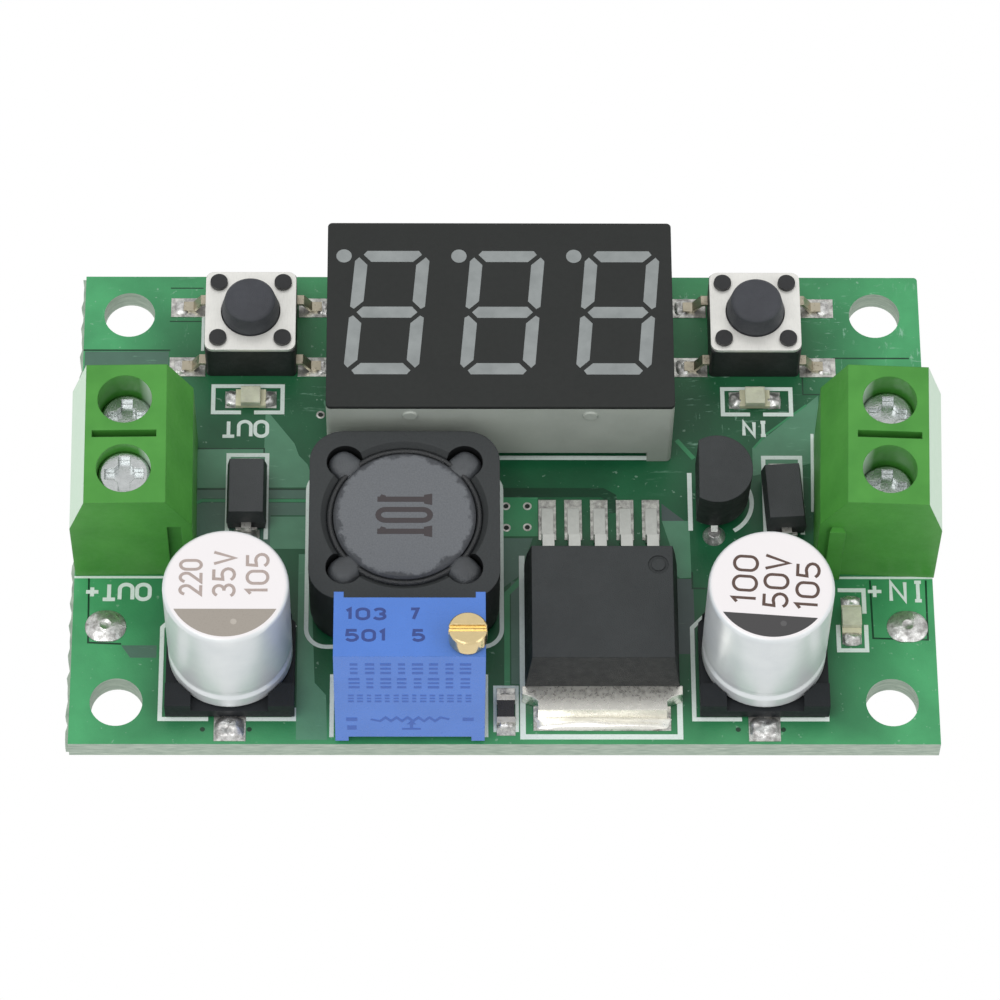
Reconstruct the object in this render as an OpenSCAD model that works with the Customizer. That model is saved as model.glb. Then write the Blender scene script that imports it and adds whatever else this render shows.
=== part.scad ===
// Step-down converter module with a three-digit voltmeter display.
// Millimetres, +Z up. The stubs of the through-board leads stand on z = 0,
// and the board is centred on the origin, its display at the back (+Y).
// "out" pieces are on the left (-X) and "in" pieces on the right (+X).

/* [Board] */
// Width of the board, left to right
board_w = 56; // [50.4:0.1:62]
// Depth of the board, front to back
board_d = 35; // [31.5:0.1:40]
// Thickness of the board
board_t = 1.6; // [1.2:0.1:2]
// Radius of the back right corner
board_corner_r = 0.25; // [0.1:0.05:1.5]
// Thickness of the rough web left where the board was snapped off at its left side
snap_web_t = 0.7; // [0.4:0.1:1]
// Reach of the rough web beyond the board's left side
snap_web_out = 0.3; // [0.1:0.05:0.4]
// Length of the lead stubs under the board
stub = 1.6; // [1.3:0.1:2.5]
// Diameter of the mounting holes
mount_hole_d = 3.4; // [2.6:0.1:3.6]
// Distance from a mounting hole's centre to the board's side
mount_inset = 3; // [2.6:0.1:3.2]
// Thickness of the tinned pads
pad_t = 0.05; // [0.03:0.01:0.1]
// Oversize of a plated hole over the lead in it
plated_gap = 0.3; // [0.2:0.05:0.4]

/* [Pads] */
// Length of a switch pad
switch_pad_l = 2.4; // [2:0.1:2.6]
// Width of a switch pad
switch_pad_w = 1.45; // [1.2:0.05:1.6]
// Reach of a switch pad beyond its leg
switch_pad_out = 0.85; // [0.4:0.05:1]
// Width of a capacitor pad
can_pad_w = 2.05; // [1.6:0.05:2.4]
// Length of a capacitor pad
can_pad_l = 3; // [2.4:0.1:3.2]
// Reach of a capacitor pad beyond the base
can_pad_out = 1.65; // [1.2:0.05:1.7]
// Width of a diode pad
diode_pad_w = 1.7; // [1.5:0.1:2]
// Length of a chip part's or a diode's pad
end_pad_l = 1.15; // [0.9:0.05:1.3]
// Depth that a chip part's pad goes under it
end_pad_in = 0.45; // [0.3:0.05:0.5]
// Width of a pad under a regulator lead
reg_pad_w = 1.15; // [0.9:0.05:1.3]
// Length of a pad under a regulator lead
reg_pad_l = 3; // [2.5:0.1:3.2]
// Reach of a regulator pad beyond its lead
reg_pad_out = 0.9; // [0.4:0.1:1.2]
// Width of the large pad under the regulator's tab
tab_pad_w = 8.85; // [8:0.05:9.5]
// Length of the large pad under the regulator's tab
tab_pad_l = 10.4; // [8:0.1:11]
// Reach of the large pad in front of the tab
tab_pad_out = 0.85; // [0.5:0.05:1.2]

/* [Wire pads] */
// Width of a solder-filled wire pad across its round ends
wire_pad_w = 2.7; // [2.4:0.1:3]
// Depth of a wire pad, front to back
wire_pad_d = 2.24; // [2:0.02:2.4]
// Height of the solder on a wire pad
wire_pad_h = 0.45; // [0.3:0.05:0.7]
// Diameter of the plated hole in a wire pad
wire_hole_d = 1.2; // [0.8:0.1:1.5]

/* [Display] */
// Width of the display
display_w = 22.67; // [20:0.01:24]
// Depth of the display
display_d = 14; // [13:0.01:14.8]
// Height of the display
display_h = 7.2; // [6:0.1:8]
// Radius of the display's upright edges
display_edge_r = 0.3; // [0.1:0.1:0.6]
// Thickness of the black face
display_face_t = 0.3; // [0.2:0.05:0.6]
// Gap under the display's walls between its corner feet
display_foot_h = 1.1; // [0.3:0.1:1.3]
// Width of a corner foot
display_foot_w = 1.6; // [1:0.1:2.4]
// Distance between the centres of two digits
digit_pitch = 7.57; // [7:0.01:7.7]
// Half the distance between the upright bars of a digit
bar_dx = 2.03; // [1.8:0.01:2.1]
// Distance between the level bars of a digit
bar_dy = 4.28; // [3.8:0.01:4.4]
// Width of a bar
bar_w = 0.85; // [0.6:0.01:1]
// Gap between neighbouring bars, measured along an edge
bar_gap = 0.23; // [0.1:0.01:0.35]
// Sideways lean of the digits for each millimetre of height
digit_slant = 0.083; // [0:0.001:0.15]
// Diameter of the two small bumps on the front wall
bump_d = 1; // [0.6:0.1:1.4]
// Reach of the bumps
bump_out = 0.12; // [0.06:0.02:0.4]
// Distance of the bumps from the display's middle
bump_x = 5.87; // [4:0.01:8]
// Depth of the bumps below the display's top
bump_drop = 1.1; // [0.9:0.05:2]
// Diameter of the decimal points
dot_d = 1.02; // [0.6:0.02:1.2]
// Sideways place of a decimal point from its digit's middle
dot_dx = -2.85; // [-3.1:0.01:-2.7]
// Distance of a decimal point behind its digit's middle
dot_dy = 4.31; // [4:0.01:4.6]
// Depth of the light windows
window_depth = 2; // [1:0.1:3]
// Distance between neighbouring pins
pin_pitch = 2.54; // [2:0.01:2.54]
// Distance between the two rows of display pins
pin_rows = 10.16; // [9:0.01:11]
// Thickness of a display pin
display_pin_t = 0.5; // [0.4:0.05:0.6]

/* [Push switches] */
// Side of a switch body
switch_w = 6; // [5.6:0.1:6.3]
// Height of a switch body up to its cover plate
switch_base_h = 3.25; // [3:0.05:4]
// Thickness of the tinned cover plate
cover_t = 0.25; // [0.15:0.05:0.4]
// Radius of the cover plate's corners
cover_r = 0.55; // [0.2:0.05:1]
// Height of a button's top above the board
button_top_h = 5; // [4.6:0.1:9]
// Diameter of a button where it passes the cover plate
button_d = 3.8; // [3.2:0.1:4]
// Diameter of a button's top
button_top_d = 3.25; // [2.6:0.05:3.5]
// Travel of a button
button_travel = 0.25; // [0.15:0.05:0.35]
// Diameter of the flange that keeps a button in
button_flange_d = 4.5; // [4.3:0.1:4.8]
// Thickness of the button's flange
button_flange_t = 0.5; // [0.3:0.05:0.7]
// Diameter of the snap dome
dome_d = 4.4; // [3.6:0.1:4.6]
// Height of the snap dome
dome_h = 0.5; // [0.45:0.05:0.6]
// Thickness of the snap dome
dome_t = 0.08; // [0.05:0.01:0.12]
// Diameter of the rivet heads
rivet_d = 1.15; // [0.8:0.05:1.2]
// Height of the rivet heads
rivet_h = 0.25; // [0.1:0.05:0.4]
// Distance of a rivet from the switch's middle, along each side
rivet_place = 2.13; // [2.05:0.01:2.3]
// Span of the legs, tip to tip
leg_span = 9.26; // [8.6:0.02:9.6]
// Distance between the front and back legs
leg_rows = 4.6; // [4:0.1:4.8]
// Width of a leg
leg_w = 0.7; // [0.5:0.05:0.9]
// Thickness of a leg
leg_t = 0.2; // [0.15:0.05:0.3]
// Length of a leg's foot
leg_foot = 0.55; // [0.4:0.05:0.8]

/* [Terminal blocks] */
// Distance between the two poles
pole_pitch = 5.08; // [5:0.01:5.2]
// Width of a terminal block, from its wire side to its inner side
terminal_w = 7.86; // [7.4:0.02:8.6]
// Length of a terminal block
terminal_l = 10.16; // [10.1:0.02:10.6]
// Height of a terminal block
terminal_h = 9.8; // [9.4:0.1:11]
// Width of the level top face
terminal_top_w = 5.2; // [4.6:0.1:5.6]
// Height of the slope on the wire side
wire_slope_h = 3.4; // [2.5:0.1:4]
// Height of the slope on the inner side
inner_slope_h = 3.1; // [2.5:0.1:4]
// Shift of the screws towards the wire side
screw_shift = 0.33; // [0:0.01:0.5]
// Diameter of the screw holes
screw_hole_d = 3.5; // [3.3:0.05:3.7]
// Width of the slot between the screws
pole_slot_w = 0.5; // [0.3:0.05:0.7]
// Length of the slot between the screws
pole_slot_l = 4.13; // [3:0.01:4.6]
// Depth of the slot between the screws
pole_slot_depth = 1.6; // [0.8:0.1:3]
// Side of the square wire entry
entry_w = 2.8; // [2.4:0.1:3]
// Side of the widened mouth of the wire entry
entry_mouth_w = 3.6; // [3.2:0.1:4]
// Depth of the widened mouth
entry_mouth_depth = 0.7; // [0.3:0.1:1.2]
// Width of the joining rib at its outer face
rib_w = 1.05; // [0.8:0.05:1.3]
// Width of the joining rib at its neck
rib_neck_w = 0.72; // [0.5:0.02:0.76]
// Reach of the joining rib
rib_out = 0.4; // [0.3:0.05:0.8]
// Height of the joining rib
rib_h = 6.4; // [4:0.1:6.5]
// Distance of the joining rib from the inner side
rib_inset = 1.15; // [0.9:0.05:1.3]

/* [Terminal mechanism] */
// Length of a contact frame along the wire
frame_l = 3.6; // [3:0.1:3.7]
// Width of a contact frame
frame_w = 4; // [3.8:0.05:4.2]
// Wall of a contact frame
frame_wall = 0.6; // [0.4:0.05:0.7]
// Thickness of the frame's threaded top wall
frame_nut_t = 1; // [0.7:0.05:1.2]
// Clear height inside a contact frame
frame_inner_h = 3.5; // [3.3:0.1:3.8]
// Height of a contact frame's underside above the board
frame_floor_h = 0.5; // [0.3:0.1:0.7]
// Thickness of a contact frame's solder pin
contact_pin_t = 0.9; // [0.7:0.05:1.1]
// Diameter of a screw head
head_d = 3.3; // [3:0.05:3.4]
// Height of a screw head
head_h = 1.1; // [0.9:0.05:1.3]
// Diameter of a screw's shank
shank_d = 2.5; // [2:0.1:2.6]
// Rise of the screw thread for one turn
thread_pitch = 0.45; // [0.35:0.05:0.5]
// Depth of a screw head when it is fully raised
head_depth_min = 0.6; // [0.3:0.1:0.7]
// Depth of a screw head when it is fully tightened
head_depth_max = 2.9; // [2.5:0.1:2.9]
// Depth of the out terminal's back screw head, as it stands
out_back_depth = 2.3; // [0.7:0.05:2.4]
// Depth of the out terminal's front screw head, as it stands
out_front_depth = 0.75; // [0.7:0.05:2.4]
// Depth of the in terminal's back screw head, as it stands
in_back_depth = 1.8; // [0.7:0.05:2.4]
// Depth of the in terminal's front screw head, as it stands
in_front_depth = 2.4; // [0.7:0.05:2.4]
// Thickness of a saddle
saddle_t = 0.6; // [0.4:0.05:0.7]
// Length of a saddle along the wire
saddle_l = 3; // [2.4:0.1:3.2]
// Width of a saddle
saddle_w = 2.2; // [1.8:0.1:2.3]
// Width of the cross recess in a screw head
recess_w = 0.75; // [0.5:0.05:0.9]
// Length of the cross recess
recess_l = 2.5; // [2:0.05:2.8]
// Depth of the cross recess
recess_depth = 0.6; // [0.4:0.05:0.8]

/* [Capacitors] */
// Diameter of a capacitor can
can_d = 8; // [7:0.1:8.2]
// Height of a capacitor
capacitor_h = 10.5; // [8:0.1:12.5]
// Side of the moulded base
can_base_w = 8.3; // [8.3:0.05:8.6]
// Thickness of the base under the can
can_base_t = 0.8; // [0.5:0.05:1.2]
// Height of the base's raised corners
can_corner_h = 1.5; // [1:0.1:2]
// Chamfer of the base's two back corners
can_chamfer = 1.9; // [1:0.1:2.4]
// Radius of the can's edges
can_edge_r = 0.35; // [0.2:0.05:0.8]
// Depth of the crimp near the foot of the can
can_crimp = 0.16; // [0.05:0.01:0.3]
// Width of a capacitor lead
can_lead_w = 0.9; // [0.6:0.05:1.1]
// Thickness of a capacitor lead
can_lead_t = 0.2; // [0.1:0.05:0.3]
// Reach of a lead beyond the base
can_lead_out = 0.7; // [0.4:0.05:1]

/* [Inductor] */
// Side of the inductor's shield, where the room on the board allows it
inductor_size = 12.3; // [8:0.1:12.8]
// Height of the inductor
inductor_h = 6; // [5:0.1:8]
// Radius of the shield's corners
shield_r = 2.2; // [1:0.1:3]
// Thinnest wall of the shield
shield_wall = 1.1; // [0.8:0.05:1.3]
// Chamfer around the shield's opening
shield_chamfer = 0.35; // [0.1:0.05:0.5]
// Diameter of a corner notch in the opening
notch_d = 2.4; // [1.6:0.1:2.6]
// Distance from a corner notch's middle out to the opening's wall
notch_out = 0.4; // [0.2:0.05:0.5]
// Gap between the drum core and the shield
drum_gap = 0.45; // [0.3:0.05:0.6]
// Thickness of the drum core's flanges
drum_flange_t = 1.1; // [0.8:0.1:1.4]
// Diameter of the drum core's neck for each millimetre of the core
drum_neck_share = 0.48; // [0.4:0.01:0.6]
// Distance from the winding to the edge of the core's flanges
winding_inset = 0.5; // [0.3:0.05:0.8]
// Drop of the drum core's top below the shield's
drum_sink = 0.08; // [0:0.02:0.2]
// Thickness of the inductor's base
inductor_base_t = 0.7; // [0.4:0.05:1]
// Width of an inductor terminal
inductor_lead_w = 5; // [3:0.1:6]
// Length of an inductor terminal
inductor_lead_l = 2; // [1.5:0.1:2.4]
// Thickness of an inductor terminal
inductor_lead_t = 0.15; // [0.1:0.05:0.25]

/* [Trimmer] */
// Width of the trimmer
trimmer_w = 9.55; // [9:0.05:10]
// Depth of the trimmer with its back lugs
trimmer_d = 4.83; // [4.4:0.01:5.2]
// Height of the trimmer's body
trimmer_h = 10.03; // [9:0.01:11]
// Backward lean of the trimmer on its pins, in degrees
trimmer_lean = 5.5; // [0:0.5:6]
// Width of a back lug
lug_w = 0.62; // [0.4:0.02:0.9]
// Reach of the back lugs
lug_out = 0.43; // [0.2:0.01:0.6]
// Width of a corner foot
trimmer_foot_w = 0.85; // [0.5:0.05:1.2]
// Height of the corner feet
trimmer_foot_h = 0.5; // [0.3:0.05:0.7]
// Depth of the potted pocket at the back
potting_t = 1; // [0.5:0.1:1.4]
// Wall around the potted pocket
potting_wall = 0.8; // [0.5:0.05:1.2]
// Diameter of the adjusting screw's head
trim_head_d = 2.44; // [2:0.02:2.5]
// Height of the adjusting screw's head above the body
trim_head_h = 1.38; // [0.8:0.02:1.6]
// Diameter of the adjusting screw's shank
trim_shank_d = 1.6; // [1.2:0.05:1.8]
// Length of the adjusting screw's shank
trim_shank_l = 4; // [2:0.1:6]
// Distance from the adjusting screw's middle to the body's right side
trim_screw_inset_x = 1.13; // [0.9:0.01:1.4]
// Distance from the adjusting screw's middle to the body's front
trim_screw_inset_y = 1.24; // [0.9:0.01:1.4]
// Width of the adjusting screw's slot
trim_slot_w = 0.5; // [0.3:0.05:0.6]
// Depth of the adjusting screw's slot
trim_slot_depth = 0.5; // [0.3:0.05:0.7]
// Thickness of a trimmer pin
trimmer_pin_t = 0.5; // [0.4:0.05:0.6]

/* [Power regulator] */
// Width of the regulator's body where it is widest
reg_w = 9.94; // [9.6:0.02:10.2]
// Length of the regulator's body where it is longest
reg_l = 9; // [8.6:0.05:9.2]
// Height of the regulator's body
reg_h = 4.45; // [4.2:0.05:4.8]
// Inward draft of the body's sides at its top
reg_side_draft = 0.42; // [0.2:0.02:0.6]
// Inward draft of the body's ends at its top
reg_end_draft = 0.47; // [0.2:0.01:0.6]
// Height of the moulding line, where the leads leave the body
reg_lead_h = 2.45; // [2.2:0.05:2.7]
// Thickness of the metal tab
tab_t = 1.27; // [1:0.01:1.4]
// Width of the tab beside the body
tab_w = 10.3; // [10:0.05:10.4]
// Length of the tab's wide part in front of the body
tab_wide_l = 0.75; // [0.5:0.05:1]
// Width of the tab's narrow end
tab_end_w = 8.3; // [7.6:0.1:9]
// Length of the tab's narrow end
tab_end_l = 0.95; // [0.5:0.05:1.3]
// Distance between two regulator leads
reg_pitch = 1.7; // [1.6:0.01:1.75]
// Width of a regulator lead
reg_lead_w = 0.78; // [0.6:0.02:0.9]
// Thickness of a regulator lead
reg_lead_t = 0.5; // [0.4:0.05:0.6]
// Reach of the leads beyond the body
reg_lead_out = 4.45; // [4:0.05:4.6]
// Length of a lead's foot
reg_foot_l = 2.1; // [1.6:0.1:2.4]

/* [Diodes] */
// Length of a diode's body
diode_l = 4.3; // [4:0.05:4.6]
// Width of a diode's body
diode_w = 2.6; // [2.4:0.05:2.8]
// Height of a diode's body
diode_h = 2.15; // [1.9:0.05:2.4]
// Draft of a diode's sides at its top
diode_draft = 0.18; // [0.1:0.02:0.3]
// Span of a diode's leads
diode_span = 5.1; // [4.8:0.05:5.6]
// Width of a diode's lead
diode_lead_w = 1.4; // [1:0.05:1.6]
// Width of the neck where a lead leaves the body
diode_neck_w = 0.65; // [0.4:0.05:0.9]
// Thickness of a diode's lead
diode_lead_t = 0.2; // [0.15:0.05:0.3]
// Turn of the in diode on its pads, in degrees
in_diode_turn = 3.5; // [0:0.5:5]

/* [Supply regulator] */
// Width of the round-backed body
supply_w = 4.6; // [4.2:0.1:4.8]
// Depth of the round-backed body from its flat side
supply_d = 3.5; // [3.2:0.1:3.8]
// Height of the round-backed body
supply_h = 4.55; // [4.2:0.05:4.8]
// Height of the body above the board
supply_lift = 1.3; // [1:0.1:2]
// Forward lean of the body on its leads, in degrees
supply_lean = 9; // [0:0.5:10]
// Thickness of a lead
supply_lead_t = 0.45; // [0.4:0.05:0.5]
// Distance between the leads in the board
supply_pitch = 2.54; // [2.2:0.01:2.54]
// Distance between the leads at the body
supply_neck_pitch = 1.27; // [1.1:0.01:1.4]

/* [Lights and chip parts] */
// Length of a chip light
led_l = 2; // [1.8:0.05:2.2]
// Width of a chip light
led_w = 1.25; // [1:0.05:1.4]
// Thickness of a chip light's base
led_base_t = 0.3; // [0.2:0.05:0.4]
// Length of the lens
led_lens_l = 1.3; // [1:0.05:1.4]
// Height of the lens on its base
led_lens_h = 0.45; // [0.3:0.05:0.6]
// Length of the front chip resistor
chip_l = 2; // [1.8:0.05:2.2]
// Width of the front chip resistor
chip_w = 1.2; // [1:0.05:1.3]
// Height of the front chip resistor
chip_h = 0.5; // [0.4:0.05:0.6]
// Length of a chip resistor's end cap
chip_cap_l = 0.4; // [0.3:0.05:0.5]
// Thickness of the end cap's wrap
chip_cap_t = 0.05; // [0.03:0.01:0.08]
// Length of the small chip resistors under the board
small_chip_l = 1.6; // [1.5:0.05:1.7]
// Width of the small chip resistors
small_chip_w = 0.8; // [0.7:0.05:0.9]
// Height of the small chip resistors
small_chip_h = 0.45; // [0.35:0.05:0.5]
// Gap between the controller and the small chip resistors beside it
small_chip_gap = 4.75; // [4:0.05:5.5]
// Distance between the small chip resistors in a pair
small_chip_pitch = 3.4; // [2.6:0.1:4]

/* [Controller under the board] */
// Length of the controller's body
controller_l = 6.5; // [6:0.1:7]
// Width of the controller's body
controller_w = 4.4; // [4:0.1:4.6]
// Thickness of the controller's body
controller_t = 1; // [0.8:0.05:1.05]
// Number of leads on each side
controller_leads_n = 10; // [8:1:10]
// Distance between two leads
controller_pitch = 0.65; // [0.6:0.01:0.65]
// Span of the leads
controller_span = 6.4; // [6:0.1:6.6]
// Gap between the controller's body and the board
controller_gap = 0.1; // [0.05:0.05:0.15]
// Width of a controller lead
controller_lead_w = 0.22; // [0.18:0.01:0.25]
// Thickness of a controller lead
controller_lead_t = 0.13; // [0.1:0.01:0.16]
// Length of the foot of a controller lead
controller_lead_l = 0.6; // [0.4:0.05:0.7]

/* [Layout] */
// Sideways place of the display's middle
display_x = -0.26; // [-0.5:0.01:0.1]
// Gap from the display's back to the board's back edge
display_back_gap = 0.2; // [0:0.05:0.4]
// Sideways shift of the digits on the face
digit_shift_x = 0.17; // [-0.3:0.01:0.3]
// Backward shift of the digits on the face
digit_shift_y = 0.14; // [-0.3:0.01:0.3]
// Gap between the out switch's legs and the display
out_switch_gap = 0.52; // [0.3:0.01:1]
// Gap between the in switch's legs and the display
in_switch_gap = 1.05; // [0.3:0.01:1.2]
// Gap from a switch body to the board's back edge
switch_back_gap = 1.75; // [1.5:0.05:2.2]
// Overhang of the out terminal beyond the board's left side
out_terminal_over = 0; // [0:0.02:0.2]
// Overhang of the in terminal beyond the board's right side
in_terminal_over = 0.28; // [0:0.02:0.4]
// Front-to-back place of the terminals' middle
terminal_y = -0.17; // [-0.5:0.01:0.2]
// Slight turn of the out terminal in its holes, in degrees
out_terminal_turn = 0.8; // [-2.5:0.1:2.5]
// Slight turn of the in terminal in its holes, in degrees
in_terminal_turn = -2.2; // [-2.5:0.1:2.5]
// Gap from a capacitor base to the board's front edge
capacitor_front_gap = 1.85; // [1.6:0.05:2.2]
// Gap between the out capacitor's base and the trimmer
out_capacitor_gap = 2.65; // [2.3:0.05:2.8]
// Gap between the in capacitor's base and the power regulator's tab
in_capacitor_gap = 1.13; // [0.8:0.01:1.3]
// Gap between the inductor and the display
inductor_gap = 1.14; // [0.8:0.02:1.3]
// Smallest gap between the inductor and the top of the trimmer
trimmer_gap = 1.55; // [1.2:0.05:1.8]
// Sideways shift of the inductor from the trimmer
inductor_shift = -0.38; // [-0.5:0.01:0]
// Gap from the trimmer's front to the board's front edge
trimmer_front_gap = 0.02; // [0:0.01:0.2]
// Gap between the trimmer and the chip resistor
chip_trimmer_gap = 0.78; // [0.5:0.01:1]
// Gap between the chip resistor and the power regulator's tab
chip_tab_gap = 0.44; // [0.3:0.01:0.7]
// Gap between the chip resistor and the board's front edge
chip_front_gap = 1.3; // [1:0.05:1.6]
// Gap from the regulator tab's end to the board's front edge
reg_front_gap = 1.8; // [1.7:0.05:2]
// Sideways place of the power regulator's middle
reg_x = 6.27; // [6:0.01:6.5]
// Gap between the out diode and the out terminal
out_diode_gap = 2; // [1.5:0.05:2.2]
// Gap between the in diode and the in terminal
in_diode_gap = 0.75; // [0.6:0.05:1]
// Front-to-back shift of the out diode from the terminal's middle
out_diode_shift = 0.37; // [-0.2:0.01:0.5]
// Front-to-back shift of the in diode from the terminal's middle
in_diode_shift = 0.02; // [-0.3:0.01:0.3]
// Gap between the supply regulator and the in diode
supply_gap = 0.97; // [0.6:0.01:1]
// Front-to-back shift of the supply regulator from the terminal's middle
supply_shift = 0.4; // [0.2:0.01:0.6]
// Gap between a switch body and the chip light in front of it
led_gap = 1.2; // [1:0.05:1.4]
// Gap between the in terminal and the front light
front_led_gap = 2.35; // [2:0.05:2.6]
// Share of the free room beside the in capacitor that lies left of the front light
front_led_share = 0.34; // [0.1:0.01:0.5]
// Gap between a terminal and the wire pad in front of it
wire_gap = 2.68; // [2.2:0.02:3]
// Share of the free room beside the out capacitor that lies left of the wire pad
out_wire_share = 0.23; // [0.1:0.01:0.6]
// Share of the free room beside the in capacitor that lies right of the wire pad
in_wire_share = 0.14; // [0.1:0.01:0.4]

/* [Fits] */
// Radial clearance of a piece that slides or turns in a round hole
running_gap = 0.07; // [0.03:0.01:0.09]
// Clearance of a piece pushed into a moulded pocket
pocket_gap = 0.08; // [0.05:0.01:0.12]
// Play under a part that rests on a spring
rest_gap = 0.02; // [0.01:0.01:0.05]

/* [Hidden] */
$fn = 48;

cut = 0.01;
top = stub + board_t;
seat = top + pad_t;
left = -board_w / 2;
right = board_w / 2;
front = -board_d / 2;
back = board_d / 2;

// places of the parts on the board
display_y = back - display_back_gap - display_d / 2;
display_front = display_y - display_d / 2;
out_switch_x = display_x - display_w / 2 - out_switch_gap - leg_span / 2;
in_switch_x = display_x + display_w / 2 + in_switch_gap + leg_span / 2;
switch_y = back - switch_back_gap - switch_w / 2;
out_terminal_x = left - out_terminal_over + terminal_w / 2;
in_terminal_x = right + in_terminal_over - terminal_w / 2;
capacitor_y = front + capacitor_front_gap + can_base_w / 2;
reg_front = front + reg_front_gap + tab_end_l + tab_wide_l;
reg_back = reg_front + reg_l;
chip_x = reg_x - tab_w / 2 - chip_tab_gap - chip_w / 2;
chip_y = front + chip_front_gap + chip_l / 2;
trimmer_x = chip_x - chip_w / 2 - chip_trimmer_gap - trimmer_w / 2;
trimmer_y = front + trimmer_front_gap + trimmer_d * cos(trimmer_lean);
out_capacitor_x = trimmer_x - trimmer_w / 2 - out_capacitor_gap - can_base_w / 2;
in_capacitor_x = reg_x + tab_w / 2 + in_capacitor_gap + can_base_w / 2;
out_diode_x = out_terminal_x + terminal_w / 2 + out_diode_gap + diode_w / 2;
out_diode_y = terminal_y + out_diode_shift;
in_diode_x = in_terminal_x - terminal_w / 2 - in_diode_gap - diode_w / 2;
in_diode_y = terminal_y + in_diode_shift;
supply_x = in_diode_x - diode_w / 2 - supply_gap - supply_d;
supply_y = terminal_y + supply_shift;
led_y = switch_y - switch_w / 2 - led_gap - led_w / 2;

// the inductor fills the room between the display and the trimmer, up to its own size
trimmer_top_back = trimmer_y + trimmer_h * sin(trimmer_lean);
inductor_room = display_front - inductor_gap - trimmer_top_back - trimmer_gap;
inductor_w = min(inductor_size, inductor_room);
inductor_x = trimmer_x + inductor_shift;
inductor_y = display_front - inductor_gap - inductor_w / 2;
shield_hole_r = inductor_w / 2 - shield_wall;
drum_d = 2 * (shield_hole_r - drum_gap);
drum_neck_d = drum_d * drum_neck_share;
winding_d = drum_d - 2 * winding_inset;

// the room between each capacitor and the board's side is shared out
out_room = out_capacitor_x - can_base_w / 2 - left - wire_pad_w;
in_room = right - in_capacitor_x - can_base_w / 2 - wire_pad_w - led_w;
wire_y = terminal_y - terminal_l / 2 - wire_gap - wire_pad_d / 2;
out_wire_x = left + out_wire_share * out_room + wire_pad_w / 2;
in_wire_x = right - in_wire_share * in_room - wire_pad_w / 2;
front_led_x = in_capacitor_x + can_base_w / 2 + front_led_share * in_room + led_w / 2;
front_led_y = terminal_y - terminal_l / 2 - front_led_gap - led_l / 2;
mount_dx = board_w - 2 * mount_inset;
mount_dy = board_d - 2 * mount_inset;

// leads that go through the board, each as [x, y]
display_pin_spots = [
    for (row = [-1, 1], i = [0:5]) if (row < 0 || i < 5)
        [display_x + (i - 2.5) * pin_pitch, display_y + row * pin_rows / 2]
];
contact_spots = [
    for (pole = [-1, 1], side = [-1, 1])
        [side < 0 ? out_terminal_x - screw_shift : in_terminal_x + screw_shift,
         terminal_y + pole * pole_pitch / 2]
];
trimmer_pin_y = trimmer_y - trimmer_d / 2;
trimmer_pin_spots = [for (i = [-1:1]) [trimmer_x + i * pin_pitch, trimmer_pin_y]];
supply_middle_x = supply_x + supply_d - supply_w / 2;
supply_pin_spots = [for (i = [-1:1]) [supply_middle_x, supply_y + i * supply_pitch]];
wire_spots = [[out_wire_x, wire_y], [in_wire_x, wire_y]];

function drill(lead) = lead * sqrt(2) + plated_gap;
drilled = concat(
    [for (p = display_pin_spots) [p[0], p[1], drill(display_pin_t)]],
    [for (p = contact_spots) [p[0], p[1], drill(contact_pin_t)]],
    [for (p = trimmer_pin_spots) [p[0], p[1], drill(trimmer_pin_t)]],
    [for (p = supply_pin_spots) [p[0], p[1], drill(supply_lead_t)]]
);
lead_down = board_t + stub;

// screw mechanism, heights above the board
nut_top_h = frame_floor_h + frame_wall + frame_inner_h + frame_nut_t;
shank_l = terminal_h - head_depth_max - head_h
    - (frame_floor_h + frame_wall + saddle_t + 2 * pocket_gap);

// switch mechanism, heights above the board
cover_top_h = switch_base_h + cover_t;
flange_top_h = switch_base_h - rest_gap;
dome_floor_h = flange_top_h - button_flange_t - button_travel - rest_gap - dome_h;

module block(w, d, h) {
    translate([-w / 2, -d / 2, 0]) cube([w, d, h]);
}

module rounded_rect(w, d, r) {
    square([w - 2 * r, d], center = true);
    square([w, d - 2 * r], center = true);
    for (x = [-1, 1], y = [-1, 1])
        translate([x * (w / 2 - r), y * (d / 2 - r)]) circle(r);
}

// A strip bent in the Y-Z plane and centred on x = 0
module bent_strip(points, w) {
    rotate([90, 0, 90]) translate([0, 0, -w / 2]) linear_extrude(w) polygon(points);
}

module in_at(x, y, z = top, turn = 0) {
    translate([x, y, z]) rotate([0, 0, turn]) children();
}

module square_pins(spots, t, up) {
    for (p = spots) translate([p[0], p[1], 0]) block(t, t, top + up);
}

// ---------------------------------------------------------------- board

module board_outline() {
    difference() {
        square([board_w, board_d], center = true);
        translate([right - board_corner_r, back - board_corner_r]) difference() {
            square(board_corner_r + 1);
            circle(board_corner_r);
        }
    }
}

function snap_reach(i) = snap_web_out * (0.62 + 0.2 * sin(i * 97) + 0.18 * sin(i * 211));
snap_teeth = 64;

module snap_web() {
    translate([0, 0, stub + (board_t - snap_web_t) / 2]) linear_extrude(snap_web_t)
        polygon(concat(
            [[left + 1, back], [left + 1, front]],
            [for (i = [0:snap_teeth])
                [left - snap_reach(i), front + board_d * i / snap_teeth]]
        ));
}

module circuit_board() {
    color("seagreen") difference() {
        union() {
            translate([0, 0, stub]) linear_extrude(board_t) board_outline();
            snap_web();
        }
        for (x = [-1, 1], y = [-1, 1])
            translate([x * mount_dx / 2, y * mount_dy / 2, stub - 1])
                cylinder(h = board_t + 2, d = mount_hole_d);
        for (p = drilled) translate([p[0], p[1], stub - 1]) cylinder(h = board_t + 2, d = p[2]);
        for (p = wire_spots) translate([p[0], p[1], stub - 1])
            cylinder(h = board_t + 2, d = wire_hole_d);
    }
}

module pad(x, y, w, d, z = top) {
    translate([x, y, z]) block(w, d, pad_t);
}

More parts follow.
